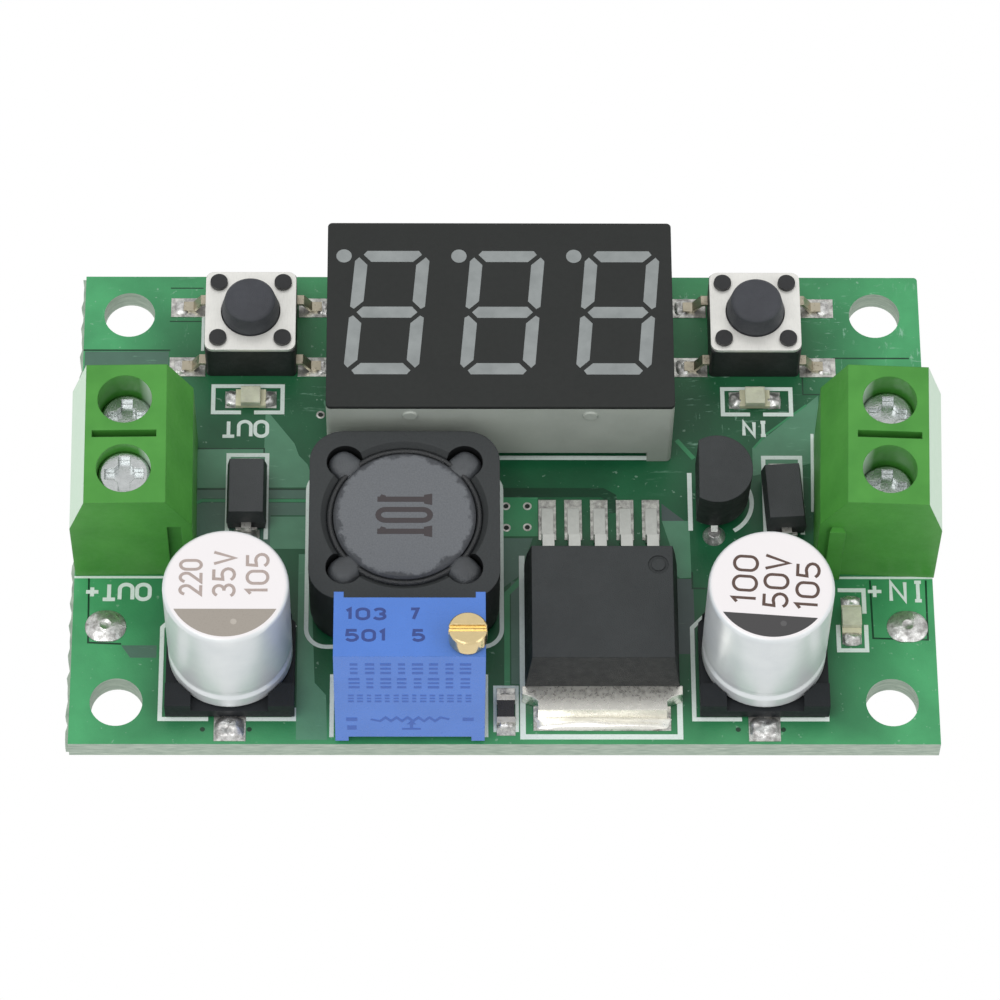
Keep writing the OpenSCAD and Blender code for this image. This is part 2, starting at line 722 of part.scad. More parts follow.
module switch_pads(x) {
    end = leg_span / 2 + switch_pad_out;
    for (sx = [-1, 1], sy = [-1, 1])
        pad(x + sx * (end - switch_pad_l / 2), switch_y + sy * leg_rows / 2,
            switch_pad_l, switch_pad_w);
}

module capacitor_pads(x) {
    end = can_base_w / 2 + can_pad_out;
    for (s = [-1, 1]) pad(x, capacitor_y + s * (end - can_pad_l / 2), can_pad_w, can_pad_l);
}

// Two pads at the ends of a part that lies along Y before its turn
module end_pads(x, y, length, w, turn = 0) {
    for (s = [-1, 1]) translate([x, y, top]) rotate([0, 0, turn])
        translate([0, s * (length / 2 + end_pad_l / 2 - end_pad_in), 0]) block(w, end_pad_l, pad_t);
}

module top_pads() {
    switch_pads(out_switch_x);
    switch_pads(in_switch_x);
    capacitor_pads(out_capacitor_x);
    capacitor_pads(in_capacitor_x);
    end_pads(out_diode_x, out_diode_y, diode_span, diode_pad_w);
    end_pads(in_diode_x, in_diode_y, diode_span, diode_pad_w);
    for (p = light_spots) end_pads(p[0], p[1], led_l, led_w, p[2]);
    end_pads(chip_x, chip_y, chip_l, chip_w);
    for (i = [-2:2])
        pad(reg_x + i * reg_pitch, reg_back + reg_lead_out + reg_pad_out - reg_pad_l / 2,
            reg_pad_w, reg_pad_l);
    pad(reg_x, reg_front - tab_wide_l - tab_end_l - tab_pad_out + tab_pad_l / 2,
        tab_pad_w, tab_pad_l);
    for (s = [-1, 1])
        pad(inductor_x, inductor_y + s * (inductor_w / 2 - inductor_lead_l / 2),
            inductor_lead_w, inductor_lead_l + switch_pad_out);
}

module under_pads() {
    z = stub - pad_t;
    for (s = [-1, 1], i = [0:controller_leads_n - 1])
        pad(display_x + (i - (controller_leads_n - 1) / 2) * controller_pitch,
            display_y + s * (controller_span - controller_lead_l) / 2,
            controller_lead_w + pad_t, 2 * controller_lead_l, z);
    for (p = small_chip_spots, s = [-1, 1])
        pad(p[0], p[1] + s * small_chip_l / 2, small_chip_w, small_chip_l / 2, z);
}

module solder_pads() {
    color("lightgray") {
        difference() {
            top_pads();
            in_at(display_x, display_y, stub)
                block(display_w + pad_t, display_d + pad_t, lead_down);
        }
        under_pads();
    }
}

module stadium(w, d) {
    square([w - d, d], center = true);
    for (s = [-1, 1]) translate([s * (w - d) / 2, 0]) circle(d = d);
}

// A solder-filled hole: a low dimpled dome, the fill in the hole and the cone below it
module wire_pad(x, y) {
    dome_r = (pow(wire_pad_w / 2, 2) + pow(wire_pad_h, 2)) / (2 * wire_pad_h);
    dimple_r = 0.8;
    dimple_depth = 0.12;
    tail_h = 0.5;
    translate([x, y, top]) difference() {
        intersection() {
            translate([0, 0, wire_pad_h - dome_r]) sphere(dome_r);
            linear_extrude(2 * wire_pad_h) stadium(wire_pad_w, wire_pad_d);
        }
        translate([0, 0, wire_pad_h + dimple_r - dimple_depth]) sphere(dimple_r);
    }
    translate([x, y, stub]) cylinder(h = board_t + cut, d = wire_hole_d);
    translate([x, y, stub - tail_h])
        cylinder(h = tail_h, r1 = wire_hole_d / 2, r2 = wire_pad_d / 2);
}

module wire_pads() {
    color("silver") for (p = wire_spots) wire_pad(p[0], p[1]);
}

module solder_cone(p, hole_d) {
    cone_h = stub * 0.65;
    translate([p[0], p[1], stub - cone_h])
        cylinder(h = cone_h, r1 = hole_d / 2, r2 = hole_d / 2 + 0.45);
    translate([p[0], p[1], stub - cut]) cylinder(h = board_t + cut, d = hole_d);
}

module solder_joints() {
    color("silver") difference() {
        union() {
            for (p = drilled) solder_cone(p, p[2]);
            for (p = supply_pin_spots) translate([p[0], p[1], top])
                cylinder(h = 0.5, r1 = 0.75, r2 = 0.4);
        }
        display_pins();
        contact_pins();
        trimmer_pins();
        supply_lead_shapes();
    }
}

// -------------------------------------------------------------- display

// One level bar and one upright bar of a digit, before the digits lean
half_bar = bar_w / 2;
tip = bar_w - 0.3;

function level_end_bar(v) = [
    [-(bar_dx - half_bar - bar_gap), v], [-(bar_dx - half_bar - bar_gap + tip), v + tip],
    [-(bar_dx - half_bar - bar_gap + tip - 0.22), v + bar_w],
    [bar_dx - half_bar - bar_gap + tip - 0.22, v + bar_w],
    [bar_dx - half_bar - bar_gap + tip, v + tip], [bar_dx - half_bar - bar_gap, v]
];
middle_bar = [
    [-bar_dx + 0.03, 0], [-bar_dx + half_bar, half_bar], [bar_dx - half_bar, half_bar],
    [bar_dx - 0.03, 0], [bar_dx - half_bar, -half_bar], [-bar_dx + half_bar, -half_bar]
];
function upright_bar(low, high) = [
    [bar_dx - half_bar, low], [bar_dx - half_bar, high],
    [bar_dx - half_bar + tip + 0.04, high + tip + 0.04], [bar_dx + half_bar, high + 0.3],
    [bar_dx + half_bar, low - 0.42], [bar_dx - half_bar + tip + 0.04, low - tip - 0.04]
];
function flip_u(points) = [for (p = points) [-p[0], p[1]]];
function flip_v(points) = [for (p = points) [p[0], -p[1]]];
function slanted(points) = [for (p = points) [p[0] + digit_slant * p[1], p[1]]];

end_bar = level_end_bar(bar_dy - half_bar);
side_bar = upright_bar(half_bar + 1.8 * bar_gap, bar_dy - half_bar - bar_gap);
digit_bars = [
    end_bar, flip_v(end_bar), middle_bar,
    side_bar, flip_u(side_bar), flip_v(side_bar), flip_u(flip_v(side_bar))
];

module digit_windows() {
    for (i = [-1:1])
        translate([display_x + digit_shift_x + i * digit_pitch, display_y + digit_shift_y]) {
            for (bar = digit_bars) polygon(slanted(bar));
            translate([dot_dx, dot_dy]) circle(d = dot_d);
        }
}

module window_prisms(z, h) {
    translate([0, 0, z]) linear_extrude(h) digit_windows();
}

module display_housing() {
    color("lightgray") difference() {
        union() {
            in_at(display_x, display_y) linear_extrude(display_h - display_face_t)
                rounded_rect(display_w, display_d, display_edge_r);
            for (x = [-1, 1])
                translate([display_x + x * bump_x, display_front, top + display_h - bump_drop])
                    rotate([90, 0, 0]) cylinder(h = bump_out, d1 = bump_d, d2 = bump_d - bump_out);
        }
        window_prisms(top + display_h - window_depth, window_depth);
        in_at(display_x, display_y, top - cut)
            block(display_w - 2 * display_foot_w, display_d + 1, display_foot_h + cut);
        in_at(display_x, display_y, top - cut)
            block(display_w + 1, display_d - 2 * display_foot_w, display_foot_h + cut);
    }
}

module display_face() {
    color([0.2, 0.2, 0.2]) difference() {
        in_at(display_x, display_y, top + display_h - display_face_t)
            linear_extrude(display_face_t) rounded_rect(display_w, display_d, display_edge_r);
        window_prisms(top + display_h - display_face_t - 1, display_face_t + 2);
    }
}

module display_segments() {
    color("gainsboro") window_prisms(top + display_h - window_depth, window_depth);
}

module display_pins() {
    color("silver") square_pins(display_pin_spots, display_pin_t, display_foot_h);
}

// -------------------------------------------------------- push switches

module switch_base(x) {
    color([0.16, 0.16, 0.17]) in_at(x, switch_y) {
        difference() {
            translate([0, 0, pad_t]) linear_extrude(switch_base_h - pad_t)
                rounded_rect(switch_w, switch_w, 0.3);
            translate([0, 0, dome_floor_h]) cylinder(h = switch_base_h, d = button_flange_d + 0.3);
            for (sx = [-1, 1], sy = [-1, 1])
                translate([sx * (switch_w / 2), sy * leg_rows / 2, leg_exit_h - pocket_gap])
                    block(0.8, leg_w + 2 * pocket_gap, leg_t + 2 * pocket_gap);
        }
        for (sx = [-1, 1], sy = [-1, 1])
            translate([sx * rivet_place, sy * rivet_place, switch_base_h])
                cylinder(h = cover_t + rivet_h, d = rivet_d);
    }
}

module switch_cover(x) {
    color("lightgray") in_at(x, switch_y, top + switch_base_h) difference() {
        linear_extrude(cover_t) rounded_rect(switch_w, switch_w, cover_r);
        translate([0, 0, -1]) cylinder(h = cover_t + 2, d = button_d + 2 * running_gap);
        for (sx = [-1, 1], sy = [-1, 1])
            translate([sx * rivet_place, sy * rivet_place, -1])
                cylinder(h = cover_t + 2, d = rivet_d);
    }
}

module switch_button(x) {
    nose_d = 1.6;
    edge = 0.12;
    color([0.2, 0.2, 0.21]) in_at(x, switch_y) rotate_extrude() polygon([
        [0, dome_floor_h + dome_h + rest_gap], [nose_d / 2, dome_floor_h + dome_h + rest_gap],
        [nose_d / 2, flange_top_h - button_flange_t],
        [button_flange_d / 2, flange_top_h - button_flange_t],
        [button_flange_d / 2, flange_top_h], [button_d / 2, flange_top_h],
        [button_d / 2, cover_top_h + button_travel + 0.05],
        [button_top_d / 2 + edge * 0.4, button_top_h - edge],
        [button_top_d / 2 - edge, button_top_h], [0, button_top_h]
    ]);
}

// A shallow snap dome, thin all over, resting on its rim
function dome_arc(rise, r) = [
    for (a = [0:15:90]) [r * cos(a), rise * sin(a)]
];

module switch_dome(x) {
    inner = dome_arc(dome_h - dome_t, dome_d / 2 - dome_t);
    outer = dome_arc(dome_h, dome_d / 2);
    color("silver") in_at(x, switch_y, top + dome_floor_h) rotate_extrude()
        polygon(concat(outer, [for (i = [len(inner) - 1:-1:0]) inner[i]]));
}

leg_exit_h = 0.9;

module switch_leg() {
    reach = leg_span / 2;
    inside = switch_w / 2 - 0.35;
    bent_strip([
        [inside, leg_exit_h], [switch_w / 2 + 0.35, leg_exit_h],
        [reach - leg_foot - 0.2, pad_t], [reach, pad_t], [reach, pad_t + leg_t],
        [reach - leg_foot - 0.1, pad_t + leg_t],
        [switch_w / 2 + 0.45, leg_exit_h + leg_t], [inside, leg_exit_h + leg_t]
    ], leg_w);
}

module switch_legs(x) {
    color("silver") in_at(x, switch_y)
        for (turn = [90, -90], s = [-1, 1])
            rotate([0, 0, turn]) translate([s * leg_rows / 2, 0, 0]) switch_leg();
}

module out_switch_base() switch_base(out_switch_x);
module out_switch_cover() switch_cover(out_switch_x);
module out_switch_button() switch_button(out_switch_x);
module out_switch_dome() switch_dome(out_switch_x);
module out_switch_legs() switch_legs(out_switch_x);
module in_switch_base() switch_base(in_switch_x);
module in_switch_cover() switch_cover(in_switch_x);
module in_switch_button() switch_button(in_switch_x);
module in_switch_dome() switch_dome(in_switch_x);
module in_switch_legs() switch_legs(in_switch_x);

// ------------------------------------------------------ terminal blocks
// In a block's own frame +X is its wire side, and the out block is turned half round.

module in_block() in_at(in_terminal_x, terminal_y, top, in_terminal_turn) children();
module out_block() in_at(out_terminal_x, terminal_y, top, 180 + out_terminal_turn) children();

module block_profile() {
    half = terminal_w / 2;
    top_out = terminal_top_w / 2 + screw_shift - 0.09;
    top_in = top_out - terminal_top_w;
    polygon([
        [-half, 0], [half, 0], [half, terminal_h - wire_slope_h], [top_out, terminal_h],
        [top_in, terminal_h], [-half, terminal_h - inner_slope_h]
    ]);
}

module dovetail(neck, face, reach, h) {
    linear_extrude(h) polygon([
        [-neck / 2, 0], [neck / 2, 0], [face / 2, -reach], [-face / 2, -reach]
    ]);
}

module pole(side) translate([screw_shift, side * pole_pitch / 2, 0]) children();

module terminal_housing() {
    rib_x = -terminal_w / 2 + rib_inset;
    entry_h = frame_floor_h + frame_wall + entry_w / 2;
    color([0.3, 0.62, 0.24]) difference() {
        union() {
            rotate([90, 0, 0]) translate([0, 0, -terminal_l / 2])
                linear_extrude(terminal_l) block_profile();
            translate([rib_x, -terminal_l / 2 + cut, 0])
                dovetail(rib_neck_w, rib_w, rib_out + cut, rib_h);
        }
        translate([rib_x, terminal_l / 2 + cut, -1])
            dovetail(rib_neck_w + 2 * pocket_gap, rib_w + 2 * pocket_gap,
                rib_out + pocket_gap + cut, rib_h + pocket_gap + 1);
        translate([screw_shift, 0, terminal_h - pole_slot_depth])
            block(pole_slot_l, pole_slot_w, terminal_h);
        for (side = [-1, 1]) pole(side) {
            translate([0, 0, nut_top_h - 1]) cylinder(h = terminal_h, d = screw_hole_d);
            translate([0, 0, -1])
                block(frame_l + 2 * pocket_gap, frame_w + 2 * pocket_gap,
                    nut_top_h + pocket_gap + 1);
            translate([0, -entry_w / 2, entry_h - entry_w / 2]) cube([terminal_w, entry_w, entry_w]);
            translate([terminal_w / 2 - screw_shift - entry_mouth_depth,
                       -entry_mouth_w / 2, entry_h - entry_mouth_w / 2])
                cube([terminal_w, entry_mouth_w, entry_mouth_w]);
        }
    }
}

module contact_frame() {
    frame_h = frame_inner_h + frame_wall + frame_nut_t;
    difference() {
        translate([0, 0, frame_floor_h]) block(frame_l, frame_w, frame_h);
        translate([0, 0, frame_floor_h + frame_wall])
            block(frame_l + 1, frame_w - 2 * frame_wall, frame_inner_h);
        translate([0, 0, nut_top_h - frame_nut_t - 1])
            cylinder(h = frame_nut_t + 2, d = shank_d + 2 * running_gap);
    }
    contact_pin();
}

module contact_frames() {
    color("silver") for (side = [-1, 1]) pole(side) contact_frame();
}

module contact_pin() {
    translate([0, 0, -lead_down])
        block(contact_pin_t, contact_pin_t, lead_down + frame_floor_h + cut);
}

module contact_pins() {
    for (side = [-1, 1]) {
        out_block() pole(side) contact_pin();
        in_block() pole(side) contact_pin();
    }
}

function tip_h(depth) = terminal_h - depth - head_h - shank_l;

module saddle(side, depth) {
    color("silver") pole(side) translate([0, 0, tip_h(depth) - saddle_t])
        block(saddle_l, saddle_w, saddle_t);
}

module clamp_screw(side, depth) {
    edge = 0.15;
    color("gainsboro") pole(side) translate([0, 0, terminal_h - depth - head_h]) difference() {
        rotate_extrude() polygon([
            [0, -shank_l], [shank_d / 2 - edge, -shank_l], [shank_d / 2, -shank_l + edge],
            [shank_d / 2, 0], [head_d / 2, 0], [head_d / 2, head_h - edge],
            [head_d / 2 - edge, head_h], [0, head_h]
        ]);
        translate([0, 0, head_h - recess_depth]) {
            block(recess_l, recess_w, head_h);
            block(recess_w, recess_l, head_h);
            cylinder(h = head_h, d = 2 * recess_w);
        }
    }
}

module out_terminal_housing() out_block() terminal_housing();
module out_contact_frames() out_block() contact_frames();
module out_back_saddle() out_block() saddle(-1, out_back_depth);
module out_front_saddle() out_block() saddle(1, out_front_depth);
module out_back_screw() out_block() clamp_screw(-1, out_back_depth);
module out_front_screw() out_block() clamp_screw(1, out_front_depth);
module in_terminal_housing() in_block() terminal_housing();
module in_contact_frames() in_block() contact_frames();
module in_back_saddle() in_block() saddle(1, in_back_depth);
module in_front_saddle() in_block() saddle(-1, in_front_depth);
module in_back_screw() in_block() clamp_screw(1, in_back_depth);
module in_front_screw() in_block() clamp_screw(-1, in_front_depth);

// ----------------------------------------------------------- capacitors

can_low = pad_t + can_lead_t;

module capacitor_can(x) {
    r = can_d / 2;
    bottom = can_low + can_base_t;
    crimp_h = 1.7;
    color("whitesmoke") in_at(x, capacitor_y) rotate_extrude() polygon(concat(
        [[0, bottom], [r - can_edge_r, bottom]],
        [for (a = [-75:15:0]) [r - can_edge_r + can_edge_r * cos(a),
                               bottom + can_edge_r + can_edge_r * sin(a)]],
        [[r, bottom + crimp_h - 0.5], [r - can_crimp, bottom + crimp_h - 0.2],
         [r - can_crimp, bottom + crimp_h + 0.2], [r, bottom + crimp_h + 0.5]],
        [for (a = [0:15:75]) [r - can_edge_r + can_edge_r * cos(a),
                              capacitor_h - can_edge_r + can_edge_r * sin(a)]],
        [[r - can_edge_r, capacitor_h], [0, capacitor_h]]
    ));
}

module capacitor_base(x) {
    h = can_base_w / 2;
    c = can_chamfer;
    color([0.15, 0.15, 0.16]) in_at(x, capacitor_y, top + can_low) difference() {
        linear_extrude(can_corner_h)
            polygon([[-h, -h], [h, -h], [h, h - c], [h - c, h], [-h + c, h], [-h, h - c]]);
        translate([0, 0, can_base_t]) cylinder(h = can_corner_h, d = can_d + 2 * pocket_gap);
        for (s = [0, 90]) rotate([0, 0, s]) translate([0, 0, can_base_t])
            block(can_d * 0.62, can_base_w + 1, can_corner_h);
    }
}

module capacitor_leads(x) {
    color("silver") in_at(x, capacitor_y, seat) for (s = [0, 180]) rotate([0, 0, s])
        translate([0, 0.9 + (can_base_w / 2 - 0.9 + can_lead_out) / 2, 0])
            block(can_lead_w, can_base_w / 2 - 0.9 + can_lead_out, can_lead_t);
}

module output_capacitor_can() capacitor_can(out_capacitor_x);
module output_capacitor_base() capacitor_base(out_capacitor_x);
module output_capacitor_leads() capacitor_leads(out_capacitor_x);
module input_capacitor_can() capacitor_can(in_capacitor_x);
module input_capacitor_base() capacitor_base(in_capacitor_x);
module input_capacitor_leads() capacitor_leads(in_capacitor_x);

// ------------------------------------------------------------- inductor

inductor_low = pad_t + inductor_lead_t;
drum_low = inductor_low + inductor_base_t;

module inductor_shield() {
    hole_r = shield_hole_r;
    wall_h = inductor_h - drum_low;
    color([0.33, 0.33, 0.36]) in_at(inductor_x, inductor_y, top + drum_low) difference() {
        linear_extrude(wall_h) rounded_rect(inductor_w, inductor_w, shield_r);
        translate([0, 0, -1]) cylinder(h = wall_h + 2, r = hole_r);
        translate([0, 0, wall_h - shield_chamfer])
            cylinder(h = shield_chamfer + cut, r1 = hole_r, r2 = hole_r + shield_chamfer + cut);
        for (a = [45:90:315]) rotate([0, 0, a]) translate([hole_r + notch_out, 0, -1])
            cylinder(h = wall_h + 2, d = notch_d);
    }
}

module inductor_core() {
    high = inductor_h - drum_sink;
    r = drum_d / 2;
    n = drum_neck_d / 2;
    color([0.5, 0.51, 0.54]) in_at(inductor_x, inductor_y) rotate_extrude() polygon([
        [0, drum_low], [r, drum_low], [r, drum_low + drum_flange_t],
        [n, drum_low + drum_flange_t], [n, high - drum_flange_t],
        [r, high - drum_flange_t], [r, high - 0.15], [r - 0.15, high], [0, high]
    ]);
}

module inductor_winding() {
    low = drum_low + drum_flange_t + rest_gap;
    high = inductor_h - drum_sink - drum_flange_t - rest_gap;
    color("peru") in_at(inductor_x, inductor_y) rotate_extrude()
        translate([drum_neck_d / 2, low]) square([(winding_d - drum_neck_d) / 2, high - low]);
}

module inductor_base() {
    color([0.12, 0.12, 0.13]) in_at(inductor_x, inductor_y, top + inductor_low)
        linear_extrude(inductor_base_t)
            rounded_rect(inductor_w - 2 * pocket_gap, inductor_w - 2 * pocket_gap, shield_r);
}

module inductor_terminals() {
    color("silver") in_at(inductor_x, inductor_y, seat) for (s = [-1, 1])
        translate([0, s * (inductor_w - inductor_lead_l) / 2, 0])
            block(inductor_lead_w, inductor_lead_l, inductor_lead_t);
}

// -------------------------------------------------------------- trimmer
// In the trimmer's own frame y = 0 is its back and z = 0 the feet's soles. It leans back
// about the edge where the back feet touch the board.

module in_trimmer() {
    translate([trimmer_x, trimmer_y, top]) rotate([-trimmer_lean, 0, 0]) children();
}

trim_screw_x = trimmer_w / 2 - trim_screw_inset_x;
trim_screw_y = -trimmer_d + trim_screw_inset_y;
pocket_w = trimmer_w - 2 * potting_wall;
pocket_h = trimmer_h - trimmer_foot_h - 2 * potting_wall;

module trimmer_housing() {
    h = trimmer_w / 2;
    color("royalblue") in_trimmer() difference() {
        linear_extrude(trimmer_h) polygon([
            [-h, -trimmer_d], [h, -trimmer_d], [h, 0], [h - lug_w, 0], [h - lug_w, -lug_out],
            [-h + lug_w, -lug_out], [-h + lug_w, 0], [-h, 0]
        ]);
        translate([0, -trimmer_d / 2, -cut])
            block(trimmer_w - 2 * trimmer_foot_w, trimmer_d + 1, trimmer_foot_h + cut);
        translate([0, -trimmer_d / 2 - lug_out / 2, -cut])
            block(trimmer_w + 1, trimmer_d - lug_out - 2 * trimmer_foot_w, trimmer_foot_h + cut);
        translate([0, -lug_out - potting_t / 2 + 0.5, trimmer_foot_h + potting_wall])
            block(pocket_w, potting_t + 1, pocket_h);
        translate([trim_screw_x, trim_screw_y, trimmer_h - trim_shank_l - 0.2])
            cylinder(h = trim_shank_l + 1, d = trim_shank_d + 2 * running_gap);
    }
}

module trimmer_potting() {
    color("cornflowerblue") in_trimmer()
        translate([0, -lug_out - potting_t / 2, trimmer_foot_h + potting_wall])
            block(pocket_w, potting_t, pocket_h);
}

module trimmer_screw() {
    r = trim_head_d / 2;
    s = trim_shank_d / 2;
    edge = 0.1;
    color("gold") in_trimmer() translate([trim_screw_x, trim_screw_y, trimmer_h]) difference() {
        rotate_extrude() polygon([
            [0, -trim_shank_l], [s, -trim_shank_l], [s, rest_gap], [r - edge, rest_gap],
            [r, rest_gap + 2 * edge], [r, trim_head_h - edge], [r - edge, trim_head_h],
            [0, trim_head_h]
        ]);
        translate([0, 0, trim_head_h - trim_slot_depth])
            block(trim_head_d + 1, trim_slot_w, trim_head_h);
    }
}

module trimmer_pins() {
    color("silver") difference() {
        square_pins(trimmer_pin_spots, trimmer_pin_t, trimmer_foot_h + 1);
        in_trimmer() translate([0, -trimmer_d / 2, trimmer_foot_h])
            block(trimmer_w + 2, trimmer_d + 2, trimmer_h);
    }
}

// ------------------------------------------------------ power regulator

reg_middle_y = reg_back - reg_l / 2;

module reg_body_shape() {
    w = reg_w / 2;
    l = reg_l / 2;
    low = 0.35;
    intersection() {
        rotate([90, 0, 0]) translate([0, 0, -reg_l]) linear_extrude(2 * reg_l) polygon([
            [-w + 0.15, 0], [w - 0.15, 0], [w, tab_t], [w - reg_side_draft, reg_h],
            [-w + reg_side_draft, reg_h], [-w, tab_t]
        ]);
        bent_strip([
            [-l, 0], [l - low, 0], [l, reg_lead_h], [l - reg_end_draft, reg_h],
            [-l + reg_end_draft, reg_h], [-l, tab_t]
        ], 2 * reg_w);
    }
}

// The mark ring pressed into the regulator's top
ring_d = 1.3;
ring_line = 0.2;
ring_depth = 0.08;

module tab_outline() {
    inner = reg_l * 0.62;
    edge = -reg_l / 2;
    w = tab_w / 2;
    e = tab_end_w / 2;
    die = 0.4 * reg_w;
    shoulder = edge - tab_wide_l;
    ear = 0.2;
    neck = 0.35;
    neck_l = 0.3;
    end = shoulder - tab_end_l;
    polygon([
        [-die, edge + inner], [die, edge + inner], [die, edge], [w, edge], [w, shoulder + ear],
        [e + neck, shoulder], [e, shoulder - neck_l], [e, end], [-e, end], [-e, shoulder - neck_l],
        [-e - neck, shoulder], [-w, shoulder + ear], [-w, edge], [-die, edge]
    ]);
}

module reg_lead() {
    exit = reg_l / 2 - 0.3;
    tip_y = reg_l / 2 + reg_lead_out;
    heel = tip_y - reg_foot_l;
    bent_strip([
        [exit, reg_lead_h - reg_lead_t / 2], [reg_l / 2 + 1, reg_lead_h - reg_lead_t / 2],
        [heel - 0.25, 0], [tip_y, 0], [tip_y, reg_lead_t], [heel + 0.1, reg_lead_t],
        [reg_l / 2 + 1.35, reg_lead_h + reg_lead_t / 2], [exit, reg_lead_h + reg_lead_t / 2]
    ], reg_lead_w);
}

module reg_leads_shape() {
    for (i = [-2:2]) translate([i * reg_pitch, 0, 0]) reg_lead();
}

module regulator_body() {
    dimple_inset = 1.35;
    color([0.2, 0.2, 0.21]) in_at(reg_x, reg_middle_y, seat) difference() {
        reg_body_shape();
        translate([0, 0, -1]) linear_extrude(tab_t + 1) tab_outline();
        reg_leads_shape();
        translate([reg_w / 2 - dimple_inset, reg_l / 2 - reg_end_draft - dimple_inset,
                   reg_h - ring_depth])
            difference() {
                cylinder(h = 1, d = ring_d);
                translate([0, 0, -1]) cylinder(h = 3, d = ring_d - 2 * ring_line);
            }
    }
}

module regulator_tab() {
    color("lightgray") in_at(reg_x, reg_middle_y, seat) linear_extrude(tab_t) tab_outline();
}

module regulator_leads() {
    color("silver") in_at(reg_x, reg_middle_y, seat) reg_leads_shape();
}

// --------------------------------------------------------------- diodes

diode_low = 0.1;
diode_line_h = 1.1;

module diode_body_shape() {
    w = diode_w / 2;
    l = diode_l / 2;
    d = diode_draft;
    intersection() {
        rotate([90, 0, 0]) translate([0, 0, -diode_l]) linear_extrude(2 * diode_l) polygon([
            [-w + d / 2, diode_low], [w - d / 2, diode_low], [w, diode_line_h],
            [w - d, diode_low + diode_h], [-w + d, diode_low + diode_h], [-w, diode_line_h]
        ]);
        bent_strip([
            [-l + d / 2, diode_low], [l - d / 2, diode_low], [l, diode_line_h],
            [l - d, diode_low + diode_h], [-l + d, diode_low + diode_h], [-l, diode_line_h]
        ], 2 * diode_w);
    }
}

module diode_leads_shape() {
    out = diode_span / 2;
    l = diode_l / 2;
    t = diode_lead_t;
    root = l - 0.3;
    heel = l - 0.8;
    step_h = 0.8;
    for (turn = [0, 180]) rotate([0, 0, turn]) {
        bent_strip([
            [root, diode_line_h - t], [out - t, diode_line_h - t], [out - t, step_h],
            [out, step_h], [out, diode_line_h], [root, diode_line_h]
        ], diode_neck_w);
        bent_strip([
            [heel, 0], [out, 0], [out, step_h], [out - t, step_h], [out - t, t], [heel, t]
        ], diode_lead_w);
    }
}

module diode_body(x, y, turn) {
    color([0.22, 0.21, 0.22]) in_at(x, y, seat, turn) difference() {
        diode_body_shape();
        diode_leads_shape();
    }
}

module diode_leads(x, y, turn) {
    color("silver") in_at(x, y, seat, turn) diode_leads_shape();
}

module out_diode_body() diode_body(out_diode_x, out_diode_y, 0);
module out_diode_leads() diode_leads(out_diode_x, out_diode_y, 0);
module in_diode_body() diode_body(in_diode_x, in_diode_y, in_diode_turn);
module in_diode_leads() diode_leads(in_diode_x, in_diode_y, in_diode_turn);

// ----------------------------------------------------- supply regulator

module in_supply() {
    translate([supply_middle_x, supply_y, top + supply_lift]) rotate([supply_lean, 0, 0]) children();
}

module supply_regulator_body() {
    r = supply_w / 2;
    color([0.22, 0.22, 0.23]) in_supply() linear_extrude(supply_h) difference() {
        circle(r);
        translate([-2 * r - supply_d + r, -r - 1]) square([2 * r, 2 * r + 2]);
    }
}

module supply_lead(s) {
    t = supply_lead_t / 2;
    low = supply_pitch * s;
    high = supply_neck_pitch * s;
    rise = supply_lift + 0.6;
    translate([supply_middle_x, supply_y, top]) bent_strip([
        [low - t, -lead_down], [low + t, -lead_down], [low + t, 0.3], [high + t, supply_lift],
        [high + t, rise], [high - t, rise], [high - t, supply_lift], [low - t, 0.3]
    ], supply_lead_t);
}

module supply_lead_shapes() {
    for (s = [-1:1]) supply_lead(s);
}

module supply_regulator_leads() {
    color("silver") difference() {
        supply_lead_shapes();
        in_supply() block(2 * supply_w, 2 * supply_w, supply_h);
    }
}

// ------------------------------------------------ lights and chip parts

light_spots = [
    [out_switch_x, led_y, 90], [in_switch_x, led_y, 90], [front_led_x, front_led_y, 0]
];
small_chip_spots = [
    for (sx = [-1, 1], sy = [-1, 1])
        [display_x + sx * (controller_l / 2 + small_chip_gap + small_chip_w / 2),
         display_y + sy * small_chip_pitch / 2],
    for (sx = [-1, 1])
        [display_x + sx * 1.5 * pin_pitch, display_y - pin_rows / 2 - pin_pitch]
];

module light_bases() {
    color("ivory") for (p = light_spots) in_at(p[0], p[1], seat, p[2])
        block(led_w, led_l, led_base_t);
}

module light_lenses() {
    color([0.85, 0.88, 0.75]) for (p = light_spots) in_at(p[0], p[1], seat + led_base_t, p[2])
        block(led_w, led_lens_l, led_lens_h);
}

module chip_core(w, l, h) {
    translate([0, 0, chip_cap_t])
        block(w - 2 * chip_cap_t, l - 2 * chip_cap_t, h - 2 * chip_cap_t);
}

module chip_caps(w, l, h) {
    difference() {
        block(w, l, h);
        translate([0, 0, -1]) block(w + 1, l - 2 * chip_cap_l, h + 2);
        chip_core(w, l, h);
    }
}

module chips_below() {
    for (p = small_chip_spots)
        translate([p[0], p[1], stub - pad_t - small_chip_h]) children();
}

module chip_resistors() {
    color([0.12, 0.12, 0.13]) {
        in_at(chip_x, chip_y, seat) chip_core(chip_w, chip_l, chip_h);
        chips_below() chip_core(small_chip_w, small_chip_l, small_chip_h);
    }
}

module resistor_end_caps() {
    color("silver") {
        in_at(chip_x, chip_y, seat) chip_caps(chip_w, chip_l, chip_h);
        chips_below() chip_caps(small_chip_w, small_chip_l, small_chip_h);
    }
}

// ------------------------------------------------------------ controller

module in_controller() {
    translate([display_x, display_y, stub - pad_t]) rotate([180, 0, 0]) children();
}

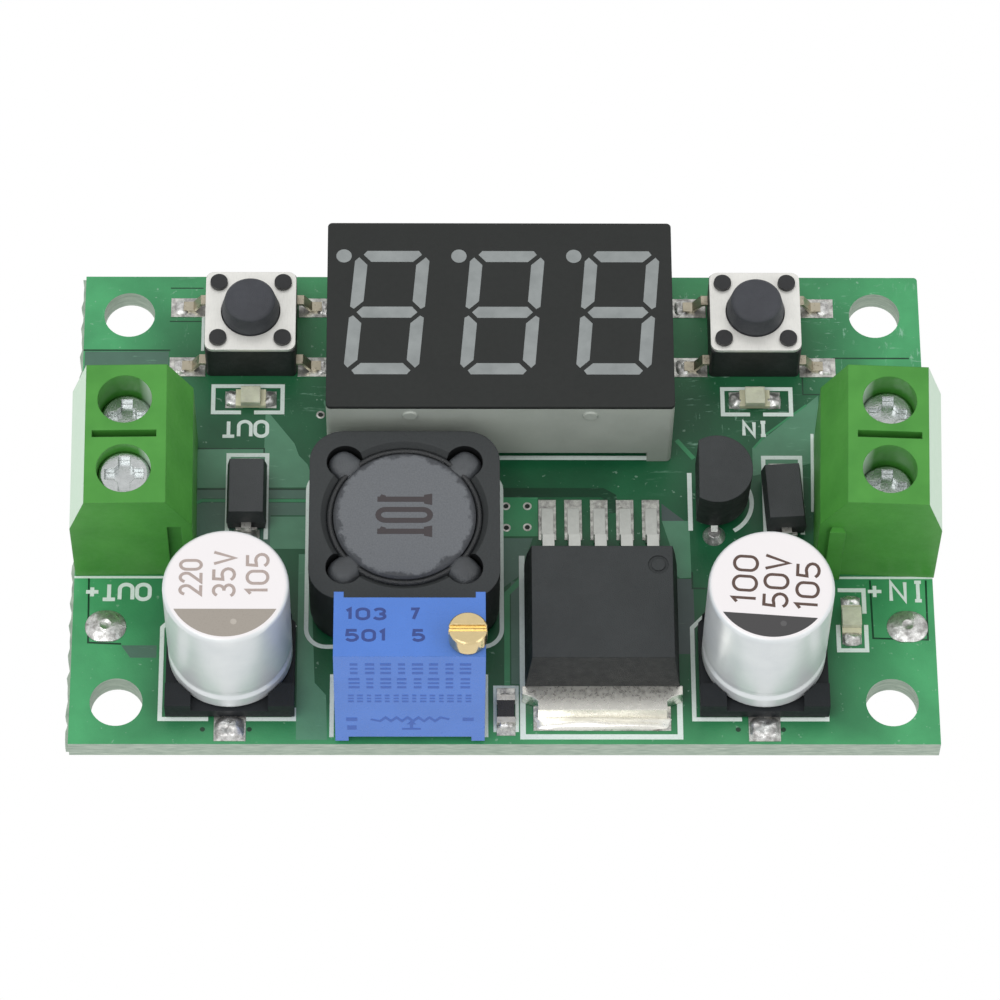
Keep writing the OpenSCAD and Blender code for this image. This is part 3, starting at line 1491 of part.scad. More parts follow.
module controller_body() {
    color([0.15, 0.15, 0.16]) in_controller() difference() {
        translate([0, 0, controller_gap]) block(controller_l, controller_w, controller_t);
        controller_leads_shape();
        translate([-controller_l / 2 + 0.7, controller_w / 2 - 0.7, controller_gap + controller_t - 0.1])
            cylinder(h = 1, d = 0.7);
    }
}

module controller_leads_shape() {
    exit_h = controller_gap + controller_t / 2;
    inside = controller_w / 2 - 0.2;
    out = controller_span / 2;
    t = controller_lead_t;
    for (turn = [0, 180], i = [0:controller_leads_n - 1]) rotate([0, 0, turn])
        translate([(i - (controller_leads_n - 1) / 2) * controller_pitch, 0, 0]) bent_strip([
            [inside, exit_h], [out - controller_lead_l - 2 * t, exit_h],
            [out - controller_lead_l, 0], [out, 0], [out, t], [out - controller_lead_l + t, t],
            [out - controller_lead_l - t, exit_h + t], [inside, exit_h + t]
        ], controller_lead_w);
}

module controller_leads() {
    color("silver") in_controller() controller_leads_shape();
}

// ---------------------------------------------------------------- nodes

circuit_board();
solder_pads();
wire_pads();
solder_joints();
display_housing();
display_face();
display_segments();
display_pins();
out_switch_base();
out_switch_cover();
out_switch_button();
out_switch_dome();
out_switch_legs();
in_switch_base();
in_switch_cover();
in_switch_button();
in_switch_dome();
in_switch_legs();
out_terminal_housing();
out_contact_frames();
out_back_saddle();
out_front_saddle();
out_back_screw();
out_front_screw();
in_terminal_housing();
in_contact_frames();
in_back_saddle();
in_front_saddle();
in_back_screw();
in_front_screw();
output_capacitor_can();
output_capacitor_base();
output_capacitor_leads();
input_capacitor_can();
input_capacitor_base();
input_capacitor_leads();
inductor_shield();
inductor_core();
inductor_winding();
inductor_base();
inductor_terminals();
trimmer_housing();
trimmer_potting();
trimmer_screw();
trimmer_pins();
regulator_body();
regulator_tab();
regulator_leads();
out_diode_body();
out_diode_leads();
in_diode_body();
in_diode_leads();
supply_regulator_body();
supply_regulator_leads();
light_bases();
light_lenses();
chip_resistors();
resistor_end_caps();
controller_body();
controller_leads();
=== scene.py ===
"""Looks for the step-down converter module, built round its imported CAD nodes. Lengths are in mm unless said."""

import math

import bpy
from mathutils import Matrix, Vector, noise
from mathutils.geometry import tessellate_polygon

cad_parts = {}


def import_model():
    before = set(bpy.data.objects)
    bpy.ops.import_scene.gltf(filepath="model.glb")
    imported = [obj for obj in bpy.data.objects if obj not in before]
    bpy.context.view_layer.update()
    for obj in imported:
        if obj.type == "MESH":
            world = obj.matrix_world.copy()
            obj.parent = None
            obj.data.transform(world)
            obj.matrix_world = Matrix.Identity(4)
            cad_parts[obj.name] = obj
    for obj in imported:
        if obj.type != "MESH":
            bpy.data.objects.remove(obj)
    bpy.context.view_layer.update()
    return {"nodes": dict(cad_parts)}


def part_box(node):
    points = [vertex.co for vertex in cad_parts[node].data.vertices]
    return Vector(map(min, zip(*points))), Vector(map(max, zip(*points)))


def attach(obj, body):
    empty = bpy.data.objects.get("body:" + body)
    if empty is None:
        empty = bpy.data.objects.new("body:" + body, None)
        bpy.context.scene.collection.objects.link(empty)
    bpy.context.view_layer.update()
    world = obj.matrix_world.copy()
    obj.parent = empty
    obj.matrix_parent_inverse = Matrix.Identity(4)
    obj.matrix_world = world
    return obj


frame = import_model()

MM = 0.001
BOARD_TOP = 3.2
ROOT = "board"


def corner_box(node):
    """Lowest and highest corner of a CAD node, in mm."""
    lo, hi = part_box(node)
    return [c / MM for c in lo], [c / MM for c in hi]


def linear(r, g, b):
    """A screen colour of 0 to 255 as linear light."""
    return tuple(((c / 255 + 0.055) / 1.055) ** 2.4 if c > 10 else c / 255 / 12.92 for c in (r, g, b))


# ------------------------------------------------------------ materials


class Shader:
    """A Principled material with its nodes at hand. Texture coordinates are in mm."""

    def __init__(self, name):
        self.mat = bpy.data.materials.new(name)
        self.mat.use_nodes = True
        self.tree = self.mat.node_tree
        self.bsdf = next(n for n in self.tree.nodes if n.type == "BSDF_PRINCIPLED")
        coord = self.node("ShaderNodeTexCoord")
        scale = self.node("ShaderNodeVectorMath", operation="SCALE")
        scale.inputs["Scale"].default_value = 1 / MM
        self.link(coord.outputs["Object"], scale.inputs[0])
        self.mm = scale.outputs[0]

    def node(self, kind, **settings):
        n = self.tree.nodes.new(kind)
        for key, value in settings.items():
            setattr(n, key, value)
        return n

    def link(self, a, b):
        self.tree.links.new(a, b)

    def put(self, socket, value):
        """Links a socket, or sets a number or a colour."""
        if isinstance(value, bpy.types.NodeSocket):
            self.link(value, socket)
        elif isinstance(value, (tuple, list)) and len(value) == 3 and socket.type == "RGBA":
            socket.default_value = (*value, 1)
        else:
            socket.default_value = value

    def noise(self, per_mm, detail=3.0, rough=0.55, at=None, stretch=None):
        vector = at or self.mm
        if stretch:
            m = self.node("ShaderNodeMapping")
            m.inputs["Scale"].default_value = stretch
            self.link(vector, m.inputs["Vector"])
            vector = m.outputs[0]
        n = self.node("ShaderNodeTexNoise")
        self.put(n.inputs["Vector"], vector)
        n.inputs["Scale"].default_value = per_mm
        n.inputs["Detail"].default_value = detail
        n.inputs["Roughness"].default_value = rough
        return n.outputs["Fac"]

    def remap(self, value, a, b, c, d):
        n = self.node("ShaderNodeMapRange")
        self.put(n.inputs["Value"], value)
        for key, number in (("From Min", a), ("From Max", b), ("To Min", c), ("To Max", d)):
            self.put(n.inputs[key], number)
        return n.outputs["Result"]

    def math(self, op, a, b=0.0):
        n = self.node("ShaderNodeMath", operation=op)
        self.put(n.inputs[0], a)
        self.put(n.inputs[1], b)
        return n.outputs[0]

    def mix(self, fac, a, b):
        n = self.node("ShaderNodeMix", data_type="RGBA")
        self.put(n.inputs["Factor"], fac)
        self.put(n.inputs[6], a)
        self.put(n.inputs[7], b)
        return n.outputs[2]

    def axis(self, i, source=None):
        n = self.node("ShaderNodeSeparateXYZ")
        self.link(source or self.mm, n.inputs[0])
        return n.outputs[i]

    def normal_z(self):
        return self.axis(2, self.node("ShaderNodeNewGeometry").outputs["Normal"])

    def soften(self, radius):
        """A rounded-edge normal of that radius."""
        n = self.node("ShaderNodeBevel", samples=4)
        n.inputs["Radius"].default_value = radius * MM
        return n.outputs[0]

    def bump(self, height, depth, normal=None):
        n = self.node("ShaderNodeBump")
        n.inputs["Distance"].default_value = depth * MM
        self.put(n.inputs["Height"], height)
        if normal is not None:
            self.link(normal, n.inputs["Normal"])
        return n.outputs[0]

    def done(self, color, rough, metal=0.0, normal=None, **more):
        self.put(self.bsdf.inputs["Base Color"], color)
        self.put(self.bsdf.inputs["Roughness"], rough)
        self.bsdf.inputs["Metallic"].default_value = metal
        if normal is not None:
            self.link(normal, self.bsdf.inputs["Normal"])
        for key, value in more.items():
            self.put(self.bsdf.inputs[key.replace("_", " ")], value)
        return self.mat


def moulded(name, rgb, rough=0.45, grain=0.02, round_mm=0.06, vary=0.12, sides=1.0, **more):
    """Moulded plastic: slight colour drift, fine grain and softened edges. Its sides may get painted shade that makes
    them darker than its top.
    """
    s = Shader(name)
    base = linear(*rgb)
    drift = s.noise(0.35, 4)
    dark = tuple(c * (1 - vary) for c in base)
    light = tuple(min(1, c * (1 + vary)) for c in base)
    color = s.mix(s.remap(drift, 0.35, 0.65, 0, 1), dark, light)
    # painted shade: faces that turn away from upright are darkened by the sides factor
    if sides < 1:
        color = s.mix(s.remap(s.normal_z(), 0.3, 0.9, 1, 0), color, tuple(c * sides for c in base))
    fine = s.noise(14, 2)
    return s.done(color, s.remap(s.noise(2.2, 3), 0.3, 0.7, rough - 0.07, rough + 0.07),
                  normal=s.bump(fine, grain, s.soften(round_mm)), **more)


def metal(name, rgb, rough=0.3, vary=0.15, round_mm=0.03, grain=0.006, stain=None, stretch=None):
    """Plated metal: cloudy reflections, fine scratches and an optional stain colour."""
    s = Shader(name)
    base = linear(*rgb)
    cloud = s.noise(1.6, 5, 0.65)
    color = s.mix(s.remap(cloud, 0.35, 0.7, 0, 1), tuple(c * (1 - vary) for c in base), base)
    if stain:
        spots = s.remap(s.noise(3.1, 5, 0.7), 0.56, 0.7, 0, 0.8)
        color = s.mix(spots, color, linear(*stain))
    scratch = s.noise(9, 3, stretch=stretch or (1, 1, 1))
    return s.done(color, s.remap(s.noise(4, 4, 0.6), 0.3, 0.7, rough * 0.7, rough * 1.4), 1.0,
                  s.bump(scratch, grain, s.soften(round_mm)))


def solder(name, rgb=(226, 226, 224), rough=0.26, lumps=0.05):
    """Reflowed solder: bright, lumpy, with dull grey patches and a little brown flux."""
    s = Shader(name)
    patch = s.remap(s.noise(2.4, 5, 0.65), 0.38, 0.64, 0, 1)
    color = s.mix(patch, linear(*rgb), linear(158, 156, 154))
    flux = s.remap(s.noise(1.3, 4, 0.7), 0.6, 0.72, 0, 0.55)
    color = s.mix(flux, color, linear(96, 78, 62))
    return s.done(color, s.remap(patch, 0, 1, rough, rough + 0.22), 0.9,
                  s.bump(s.noise(3.2, 4, 0.6), lumps, s.soften(0.05)))


def board_mask():
    """Green solder mask on the faces, pale glass laminate on the cut edges and hole walls."""
    s = Shader("board_laminate")
    x, y = s.axis(0), s.axis(1)
    color = s.mix(s.remap(s.noise(0.22, 4), 0.35, 0.68, 0, 1), linear(10, 76, 45), linear(20, 92, 56))
    # the mask is paler at the board's ends and along its rim, partly from the copper pour under it and partly as
    # painted reflection of the lamps
    ends = s.remap(s.math("ABSOLUTE", x), 19.5, 26.0, 0, 1)
    back = s.remap(y, 8.0, 16.5, 0, 0.75)
    front = s.remap(y, -14.5, -17.4, 0, 0.8)
    edge = s.math("MAXIMUM", s.math("MAXIMUM", ends, back), front)
    cloudy = s.math("MULTIPLY", edge, s.remap(s.noise(0.3, 3), 0.25, 0.7, 0.6, 1))
    color = s.mix(cloudy, color, linear(70, 162, 104))
    # flux film, wiped scratches and dust left from hand soldering near the display and switches
    wiped = s.noise(1.0, 5, 0.7, stretch=(0.35, 2.6, 1))
    wiped_back = s.noise(1.1, 5, 0.72, stretch=(2.1, 0.5, 1))
    right = s.math("MULTIPLY", s.remap(y, 0.5, 3.5, 0, 1), s.remap(x, 9.0, 11.5, 0, 1))
    zone = s.math("MAXIMUM", right, s.math("MULTIPLY", s.remap(y, 5.0, 8.0, 0, 1), s.remap(x, -20, -10, 0.3, 0.8)))
    film = s.math("MULTIPLY", s.remap(s.noise(0.5, 3), 0.42, 0.62, 0, 1), zone)
    marks = s.math("MAXIMUM", s.remap(wiped, 0.6, 0.66, 0, 0.7), s.remap(wiped_back, 0.61, 0.67, 0, 0.6))
    color = s.mix(s.math("MULTIPLY", marks, film), color, linear(150, 196, 172))
    color = s.mix(s.remap(s.noise(2.6, 2), 0.7, 0.73, 0, 0.35), color, linear(160, 190, 172))
    # cut edges and hole walls
    side = s.remap(s.math("ABSOLUTE", s.normal_z()), 0.35, 0.6, 1, 0)
    # the snapped web lies below the board's top and shows bare laminate on its upper face
    low = s.remap(s.axis(2), BOARD_TOP - 0.2, BOARD_TOP - 0.1, 1, 0)
    web = s.math("MULTIPLY", low, s.remap(s.normal_z(), 0.3, 0.6, 0, 1))
    side = s.math("MAXIMUM", side, web)
    layers = s.noise(1.6, 4, 0.6, stretch=(0.6, 0.6, 7))
    edge_color = s.mix(s.remap(layers, 0.3, 0.7, 0, 1), linear(134, 152, 138), linear(180, 192, 178))
    color = s.mix(side, color, edge_color)
    rough = s.mix(side, (0.36, 0.36, 0.36), (0.75, 0.75, 0.75))
    height = s.math("ADD", s.noise(5, 3), s.math("MULTIPLY", s.math("MULTIPLY", marks, film), 1.5))
    return s.done(color, rough, normal=s.bump(height, 0.012))


def mask_over_copper(name, rgb, wet=0.3):
    s = Shader(name)
    base = linear(*rgb)
    color = s.mix(s.remap(s.noise(0.5, 4), 0.35, 0.65, 0, 1), tuple(c * 0.86 for c in base), base)
    film = s.remap(s.noise(1.2, 5, 0.7, stretch=(0.4, 2.4, 1)), 0.62, 0.72, 0, 0.3)
    color = s.mix(film, color, linear(140, 190, 162))
    return s.done(color, wet, normal=s.bump(s.noise(5, 3), 0.01))


def ink(name, rgb, wear=0.3, rough=0.6):
    """Printed ink: slightly broken, with a soft edge of the colour below it."""
    s = Shader(name)
    base = linear(*rgb)
    worn = s.remap(s.noise(7, 4, 0.7), 0.52, 0.72, 0, wear)
    color = s.mix(worn, base, tuple(c * 0.55 for c in base))
    return s.done(color, rough, normal=s.bump(s.noise(16, 2), 0.004))


def can_finish(name):
    """Coated aluminium can: white printed top and a satin white side."""
    s = Shader(name)
    top = s.remap(s.normal_z(), 0.75, 0.95, 0, 1)
    side = s.mix(s.remap(s.noise(0.4, 3), 0.3, 0.7, 0, 1), linear(210, 215, 217), linear(222, 226, 227))
    color = s.mix(top, side, linear(228, 224, 225))
    fine = s.noise(11, 3, stretch=(1, 1, 0.15))
    out = s.done(color, s.remap(top, 0, 1, 0.3, 0.45), normal=s.bump(fine, 0.004, s.soften(0.15)))
    s.put(s.bsdf.inputs["Metallic"], s.remap(top, 0, 1, 0.35, 0.0))
    return out


def ferrite(name, rgb, rough=0.5, pits=0.03, pale=1.18, rim_of=None, sides=1.0):
    """Pressed ferrite. A rim of dark resin creeps over the top of the node named as rim_of."""
    s = Shader(name)
    base = linear(*rgb)
    grain = s.noise(9, 5, 0.75)
    color = s.mix(s.remap(grain, 0.35, 0.7, 0, 1), tuple(c * 0.82 for c in base), tuple(c * pale for c in base))
    specks = s.remap(s.noise(2.6, 6, 0.8), 0.66, 0.72, 0, 0.7)
    color = s.mix(specks, color, tuple(c * 0.35 for c in base))
    # painted shade: faces that turn away from upright are darkened by the sides factor
    if sides < 1:
        color = s.mix(s.remap(s.normal_z(), 0.3, 0.9, 1, 0), color, tuple(c * sides for c in base))
    if rim_of:
        lo, hi = corner_box(rim_of)
        offset = s.node("ShaderNodeVectorMath", operation="SUBTRACT")
        s.link(s.mm, offset.inputs[0])
        offset.inputs[1].default_value = ((lo[0] + hi[0]) / 2, (lo[1] + hi[1]) / 2, hi[2])
        flat = s.node("ShaderNodeVectorMath", operation="MULTIPLY")
        s.link(offset.outputs[0], flat.inputs[0])
        flat.inputs[1].default_value = (1, 1, 0)
        length = s.node("ShaderNodeVectorMath", operation="LENGTH")
        s.link(flat.outputs[0], length.inputs[0])
        ragged = s.math("ADD", length.outputs["Value"], s.remap(s.noise(0.9, 4, 0.7), 0.3, 0.7, -0.35, 0.35))
        radius = (hi[0] - lo[0]) / 2
        color = s.mix(s.remap(ragged, radius - 0.42, radius - 0.2, 0, 0.85), color, linear(58, 60, 64))
    return s.done(color, s.remap(grain, 0.3, 0.7, rough - 0.1, rough + 0.12),
                  normal=s.bump(grain, pits, s.soften(0.12)), Specular_IOR_Level=0.3)


def terminal_plastic():
    """Green polyamide. Its outer sloped walls get a painted near-white reflection of the bright surroundings."""
    s = Shader("terminal_green")
    color = s.mix(s.remap(s.noise(0.3, 3), 0.35, 0.65, 0, 1), linear(64, 134, 50), linear(74, 146, 58))
    facing = s.axis(0, s.node("ShaderNodeNewGeometry").outputs["Normal"])
    outward_glare = s.math("MULTIPLY", facing, s.math("SIGN", s.axis(0)))
    # painted reflection: faces turned away from the board's middle are mixed towards near-white, standing in for glare
    # off the white surroundings
    color = s.mix(s.remap(outward_glare, 0.5, 0.85, 0, 0.9), color, linear(205, 226, 208))
    return s.done(color, s.remap(s.noise(2.5, 4), 0.3, 0.7, 0.36, 0.5),
                  normal=s.bump(s.noise(12, 3), 0.012, s.soften(0.1)), Specular_IOR_Level=0.4)


def lens(name, rgb):
    s = Shader(name)
    color = s.mix(s.remap(s.noise(1.4, 3), 0.3, 0.7, 0, 1), linear(*rgb), linear(210, 212, 190))
    return s.done(color, 0.2, normal=s.bump(s.noise(6, 2), 0.02, s.soften(0.08)),
                  Subsurface_Weight=0.4, Subsurface_Radius=(0.0005, 0.0005, 0.0004), Subsurface_Scale=1.0)


def display_window():
    """Frosted light windows with a cloudy grey tone."""
    s = Shader("segment_grey")
    cloud = s.remap(s.noise(0.9, 3), 0.3, 0.7, 0, 1)
    color = s.mix(cloud, linear(126, 131, 131), linear(140, 145, 145))
    return s.done(color, 0.42, normal=s.bump(s.noise(20, 2), 0.006, s.soften(0.06)))


def brushed(name, rgb, rough=0.34):
    """Stamped cover plate with rolling marks along one way."""
    s = Shader(name)
    base = linear(*rgb)
    lines = s.noise(2.6, 5, 0.7, stretch=(9, 0.8, 1))
    patch = s.noise(0.8, 4, 0.6)
    color = s.mix(s.remap(patch, 0.3, 0.7, 0, 1), tuple(c * 0.9 for c in base), base)
    color = s.mix(s.remap(lines, 0.5, 0.75, 0, 0.3), color, tuple(c * 0.6 for c in base))
    return s.done(color, s.remap(lines, 0.3, 0.7, rough - 0.06, rough + 0.12), 0.6,
                  s.bump(lines, 0.006, s.soften(0.06)))


M = {
    "board": board_mask(),
    "solder": solder("solder"),
    "pad": solder("pad_tin", (222, 222, 216), 0.3, 0.02),
    "pin": metal("tinned_lead", (205, 203, 198), 0.32, stain=(150, 138, 118)),
    "leg": metal("switch_leg", (196, 188, 168), 0.34, stain=(92, 80, 62)),
    "shell": moulded("display_shell", (168, 174, 166), 0.5, 0.015, 0.1, 0.05),
    "face": moulded("display_black", (39, 41, 40), 0.6, 0.01, 0.08, 0.03, Specular_IOR_Level=0.25),
    "window": display_window(),
    "switch": moulded("switch_black", (30, 31, 33), 0.5, 0.02),
    "button": moulded("button_rubber", (54, 56, 62), 0.62, 0.03, 0.2),
    "plate": brushed("switch_plate", (242, 241, 236)),
    "terminal": terminal_plastic(),
    "screw": metal("zinc_screw", (214, 218, 218), 0.22, 0.2, 0.1, 0.012),
    "can": can_finish("can_aluminium"),
    "base": moulded("base_black", (28, 31, 34), 0.5, 0.015, Specular_IOR_Level=0.25),
    # sides=0.25 paints heavy shade on the shield's sides
    "shield": ferrite("ferrite", (52, 55, 56), sides=0.25),
    "core": ferrite("ferrite_core", (104, 107, 111), 0.5, 0.03, 1.12, "inductor_core"),
    "glue": moulded("coil_glue", (34, 36, 38), 0.3, 0.05, 0.05, 0.2),
    "glue_pale": moulded("coil_glue_pale", (66, 69, 72), 0.35, 0.05, 0.05, 0.25),
    "winding": metal("copper_winding", (150, 84, 50), 0.3, stretch=(1, 1, 30)),
    "blue": moulded("trimmer_blue", (74, 118, 198), 0.3, 0.006, 0.08, 0.04),
    "resin": moulded("trimmer_resin", (54, 100, 190), 0.25, 0.03, 0.1),
    "brass": metal("trimmer_brass", (234, 212, 162), 0.14, 0.08, 0.12, 0.004),
    # sides=0.45 paints shade on the sides of the black epoxy bodies
    "epoxy": moulded("epoxy_black", (52, 55, 56), 0.55, 0.05, 0.1, 0.06, sides=0.45, Specular_IOR_Level=0.3),
    "tab": metal("tab_tin", (242, 240, 232), 0.3, 0.08, 0.06, 0.003),
    "lead": metal("lead_tin", (206, 208, 203), 0.4, 0.1, 0.05, 0.006),
    "light_base": moulded("light_base", (206, 204, 176), 0.4, 0.02, 0.03),
    "lens": lens("light_lens", (186, 188, 168)),
    # sides=0.75 paints shade on the diode's sides
    "diode": moulded("diode_black", (66, 68, 70), 0.5, 0.04, 0.08, 0.06, sides=0.75, Specular_IOR_Level=0.3),
    "chip": moulded("resistor_black", (34, 34, 38), 0.25, 0.02, 0.03),
    "silk": ink("silk_white", (214, 226, 220), 0.35),
}

RULES = [
    ("circuit_board", "board"), ("solder_pads", "pad"), ("wire_pads", "solder"), ("solder_joints", "solder"),
    ("display_housing", "shell"), ("display_face", "face"), ("display_segments", "window"),
    ("switch_base", "switch"), ("switch_button", "button"), ("switch_cover", "plate"), ("switch_legs", "leg"),
    ("switch_dome", "pin"), ("terminal_housing", "terminal"), ("contact_frames", "screw"), ("_saddle", "screw"),
    ("trimmer_screw", "brass"), ("_screw", "screw"), ("capacitor_can", "can"), ("capacitor_base", "base"),
    ("inductor_shield", "shield"), ("inductor_core", "core"), ("inductor_winding", "winding"),
    ("inductor_base", "base"), ("trimmer_housing", "blue"), ("trimmer_potting", "resin"),
    ("regulator_tab", "tab"), ("regulator_leads", "lead"), ("light_bases", "light_base"), ("light_lenses", "lens"),
    ("chip_resistors", "chip"), ("diode_body", "diode"), ("_body", "epoxy"),
]
for name, obj in frame["nodes"].items():
    key = next((k for part, k in RULES if part in name), "pin")
    obj.data.materials.clear()
    obj.data.materials.append(M[key])


# ------------------------------------------------------------- geometry


def add_mesh(name, verts, faces, material, body=ROOT, smooth=False, at=None):
    """A piece from points in mm, riding on a CAD body."""
    mesh = bpy.data.meshes.new(name)
    place = at or Matrix.Identity(4)
    mesh.from_pydata([(place @ Vector(v)) * MM for v in verts], [], faces)
    mesh.validate()
    mesh.update()
    if smooth:
        mesh.shade_smooth()
    obj = bpy.data.objects.new(name, mesh)
    bpy.context.scene.collection.objects.link(obj)
    mesh.materials.append(material)
    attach(obj, body)
    return obj


class Plates:
    """Gathers thin flat shapes and makes them one piece."""

    def __init__(self, low, high):
        self.low, self.high, self.count = low, high, 0
        self.verts, self.faces = [], []

    def polygon(self, points):
        n, first = len(points), len(self.verts)
        # each shape stands a hair higher than the last, so that crossing strokes never share a face
        self.count = (self.count + 1) % 9
        high = self.high + 0.0007 * self.count
        area = sum(a[0] * b[1] - b[0] * a[1] for a, b in zip(points, points[1:] + points[:1]))
        if area < 0:
            points = points[::-1]
        self.verts += [(x, y, self.low) for x, y in points] + [(x, y, high) for x, y in points]
        for tri in tessellate_polygon([[Vector((x, y, 0)) for x, y in points]]):
            a, b, c = tri
            pa, pb, pc = points[a], points[b], points[c]
            turn = (pb[0] - pa[0]) * (pc[1] - pa[1]) - (pb[1] - pa[1]) * (pc[0] - pa[0])
            if turn < 0:
                a, c = c, a
            self.faces.append((first + n + a, first + n + b, first + n + c))
            self.faces.append((first + c, first + b, first + a))
        for i in range(n):
            j = (i + 1) % n
            self.faces.append((first + i, first + j, first + n + j, first + n + i))

    def line(self, points, width, closed=False):
        """A ribbon along points with mitred corners."""
        n = len(points)
        left, right = [], []
        for i, p in enumerate(points):
            p = Vector(p)
            before = Vector(points[i - 1]) if (i > 0 or closed) else None
            after = Vector(points[(i + 1) % n]) if (i < n - 1 or closed) else None
            d1 = (p - before).normalized() if before is not None else None
            d2 = (after - p).normalized() if after is not None else None
            d1, d2 = d1 or d2, d2 or d1
            n1, n2 = Vector((-d1.y, d1.x)), Vector((-d2.y, d2.x))
            m = (n1 + n2).normalized()
            reach = width / 2 / max(0.45, m.dot(n1))
            left.append(p + m * reach)
            right.append(p - m * reach)
        pairs = range(n) if closed else range(n - 1)
        for i in pairs:
            j = (i + 1) % n
            self.polygon([tuple(right[i]), tuple(right[j]), tuple(left[j]), tuple(left[i])])

    def make(self, name, material, body=ROOT, at=None):
        return add_mesh(name, self.verts, self.faces, material, body, at=at)


def arc(cx, cy, r, start, end, steps=12, ry=None):
    """Points on an arc from start to end degrees."""
    return [
        (cx + r * math.cos(math.radians(start + (end - start) * i / steps)),
         cy + (ry or r) * math.sin(math.radians(start + (end - start) * i / steps)))
        for i in range(steps + 1)
    ]


def disc(cx, cy, r, steps=24):
    return arc(cx, cy, r, 0, 360, steps)[:-1]


GLYPHS = {
    "O": (0.62, [arc(0.31, 0.31, 0.31, 180, 360) + arc(0.31, 0.69, 0.31, 0, 180) + [(0, 0.31)]]),
    "0": (0.6, [arc(0.3, 0.3, 0.3, 180, 360) + arc(0.3, 0.7, 0.3, 0, 180) + [(0, 0.3)]]),
    "U": (0.62, [[(0, 1)] + arc(0.31, 0.31, 0.31, 180, 360) + [(0.62, 1)]]),
    "T": (0.6, [[(0, 1), (0.6, 1)], [(0.3, 1), (0.3, 0)]]),
    "I": (0.3, [[(0, 1), (0.3, 1)], [(0.15, 1), (0.15, 0)], [(0, 0), (0.3, 0)]]),
    "N": (0.62, [[(0, 0), (0, 1), (0.62, 0), (0.62, 1)]]),
    "+": (0.6, [[(0, 0.5), (0.6, 0.5)], [(0.3, 0.2), (0.3, 0.8)]]),
    "1": (0.25, [[(0, 0.82), (0.18, 1), (0.18, 0)]]),
    "2": (0.58, [arc(0.29, 0.71, 0.29, 165, -35) + [(0, 0), (0.6, 0)]]),
    "3": (0.56, [arc(0.27, 0.74, 0.26, 160, -90), arc(0.27, 0.25, 0.29, 90, -160, ry=0.25)]),
    "5": (0.58, [[(0.54, 1), (0.06, 1), (0.03, 0.56)] + arc(0.28, 0.3, 0.3, 115, -155)]),
    "7": (0.56, [[(0, 1), (0.56, 1), (0.2, 0)]]),
    "V": (0.6, [[(0, 1), (0.3, 0), (0.6, 1)]]),
}


def write(plates, text, x, y, height, width, pen, turn=0, gap=0.22):
    """Writes text in strokes so that it fills width by height round its middle at x, y."""
    total = sum(GLYPHS[c][0] for c in text) + gap * (len(text) - 1)
    across = (width - pen) / total
    up = height - pen
    a = math.radians(turn)
    along = 0.0
    for c in text:
        w, strokes = GLYPHS[c]
        for stroke in strokes:
            points = []
            for u, v in stroke:
                dx, dy = (along + u - total / 2) * across, (v - 0.5) * up
                points.append((x + dx * math.cos(a) - dy * math.sin(a), y + dx * math.sin(a) + dy * math.cos(a)))
            closed = points[0] == points[-1] or math.dist(points[0], points[-1]) < 1e-6
            plates.line(points[:-1] if closed else points, pen, closed)
        along += w + gap


def mound(name, x, y, w, d, h, z, material, power=3.0, rough=0.25, body=ROOT, turn=0.0, seed=0.0):
    """A low lumpy solder mound on a footprint of w by d."""
    steps, rings = 28, 7
    verts, faces = [], []
    for i in range(rings):
        t = 1 - i / (rings - 1)
        for k in range(steps):
            a = 2 * math.pi * k / steps
            c, s = math.cos(a), math.sin(a)
            reach = (abs(c) ** power + abs(s) ** power) ** (-1 / power)
            lump = noise.noise(Vector((c * t * 1.7 + seed, s * t * 1.7, seed)))
            u, v = reach * c * t * w / 2 * (1 + 0.05 * lump), reach * s * t * d / 2 * (1 + 0.05 * lump)
            height = h * (1 - t ** 3) ** 0.6 * (1 + rough * lump)
            verts.append((x + u * math.cos(turn) - v * math.sin(turn),
                          y + u * math.sin(turn) + v * math.cos(turn), z + max(0.0, height)))
    for i in range(rings - 1):
        for k in range(steps):
            n = (k + 1) % steps
            faces.append((i * steps + k, i * steps + n, (i + 1) * steps + n, (i + 1) * steps + k))
    faces.append(tuple(range((rings - 1) * steps, rings * steps)))
    return add_mesh(name, verts, faces, material, body, smooth=True)


def ring(name, spots, r_out, r_in, low, high, material, body=ROOT, steps=28):
    """Flat rings round points, as one piece."""
    verts, faces = [], []
    for cx, cy in spots:
        first = len(verts)
        for k in range(steps):
            a = 2 * math.pi * k / steps
            c, s = math.cos(a), math.sin(a)
            verts += [(cx + r_out * c, cy + r_out * s, low), (cx + r_out * c, cy + r_out * s, high),
                      (cx + r_in * c, cy + r_in * s, high), (cx + r_in * c, cy + r_in * s, low)]
        for k in range(steps):
            a, b = first + 4 * k, first + 4 * ((k + 1) % steps)
            faces += [(a, b, b + 1, a + 1), (a + 1, b + 1, b + 2, a + 2), (a + 2, b + 2, b + 3, a + 3)]
    return add_mesh(name, verts, faces, material, body)


# ------------------------------------------------- copper under the mask

SKIN = BOARD_TOP - 0.01
# the trimmer housing's back edge, depth and height
TRIM_BACK, TRIM_D, TRIM_H = -12.672, 4.83, 10.03
# how far the shield's four notches lie from the coil's middle
NOTCH_REACH = 5.4


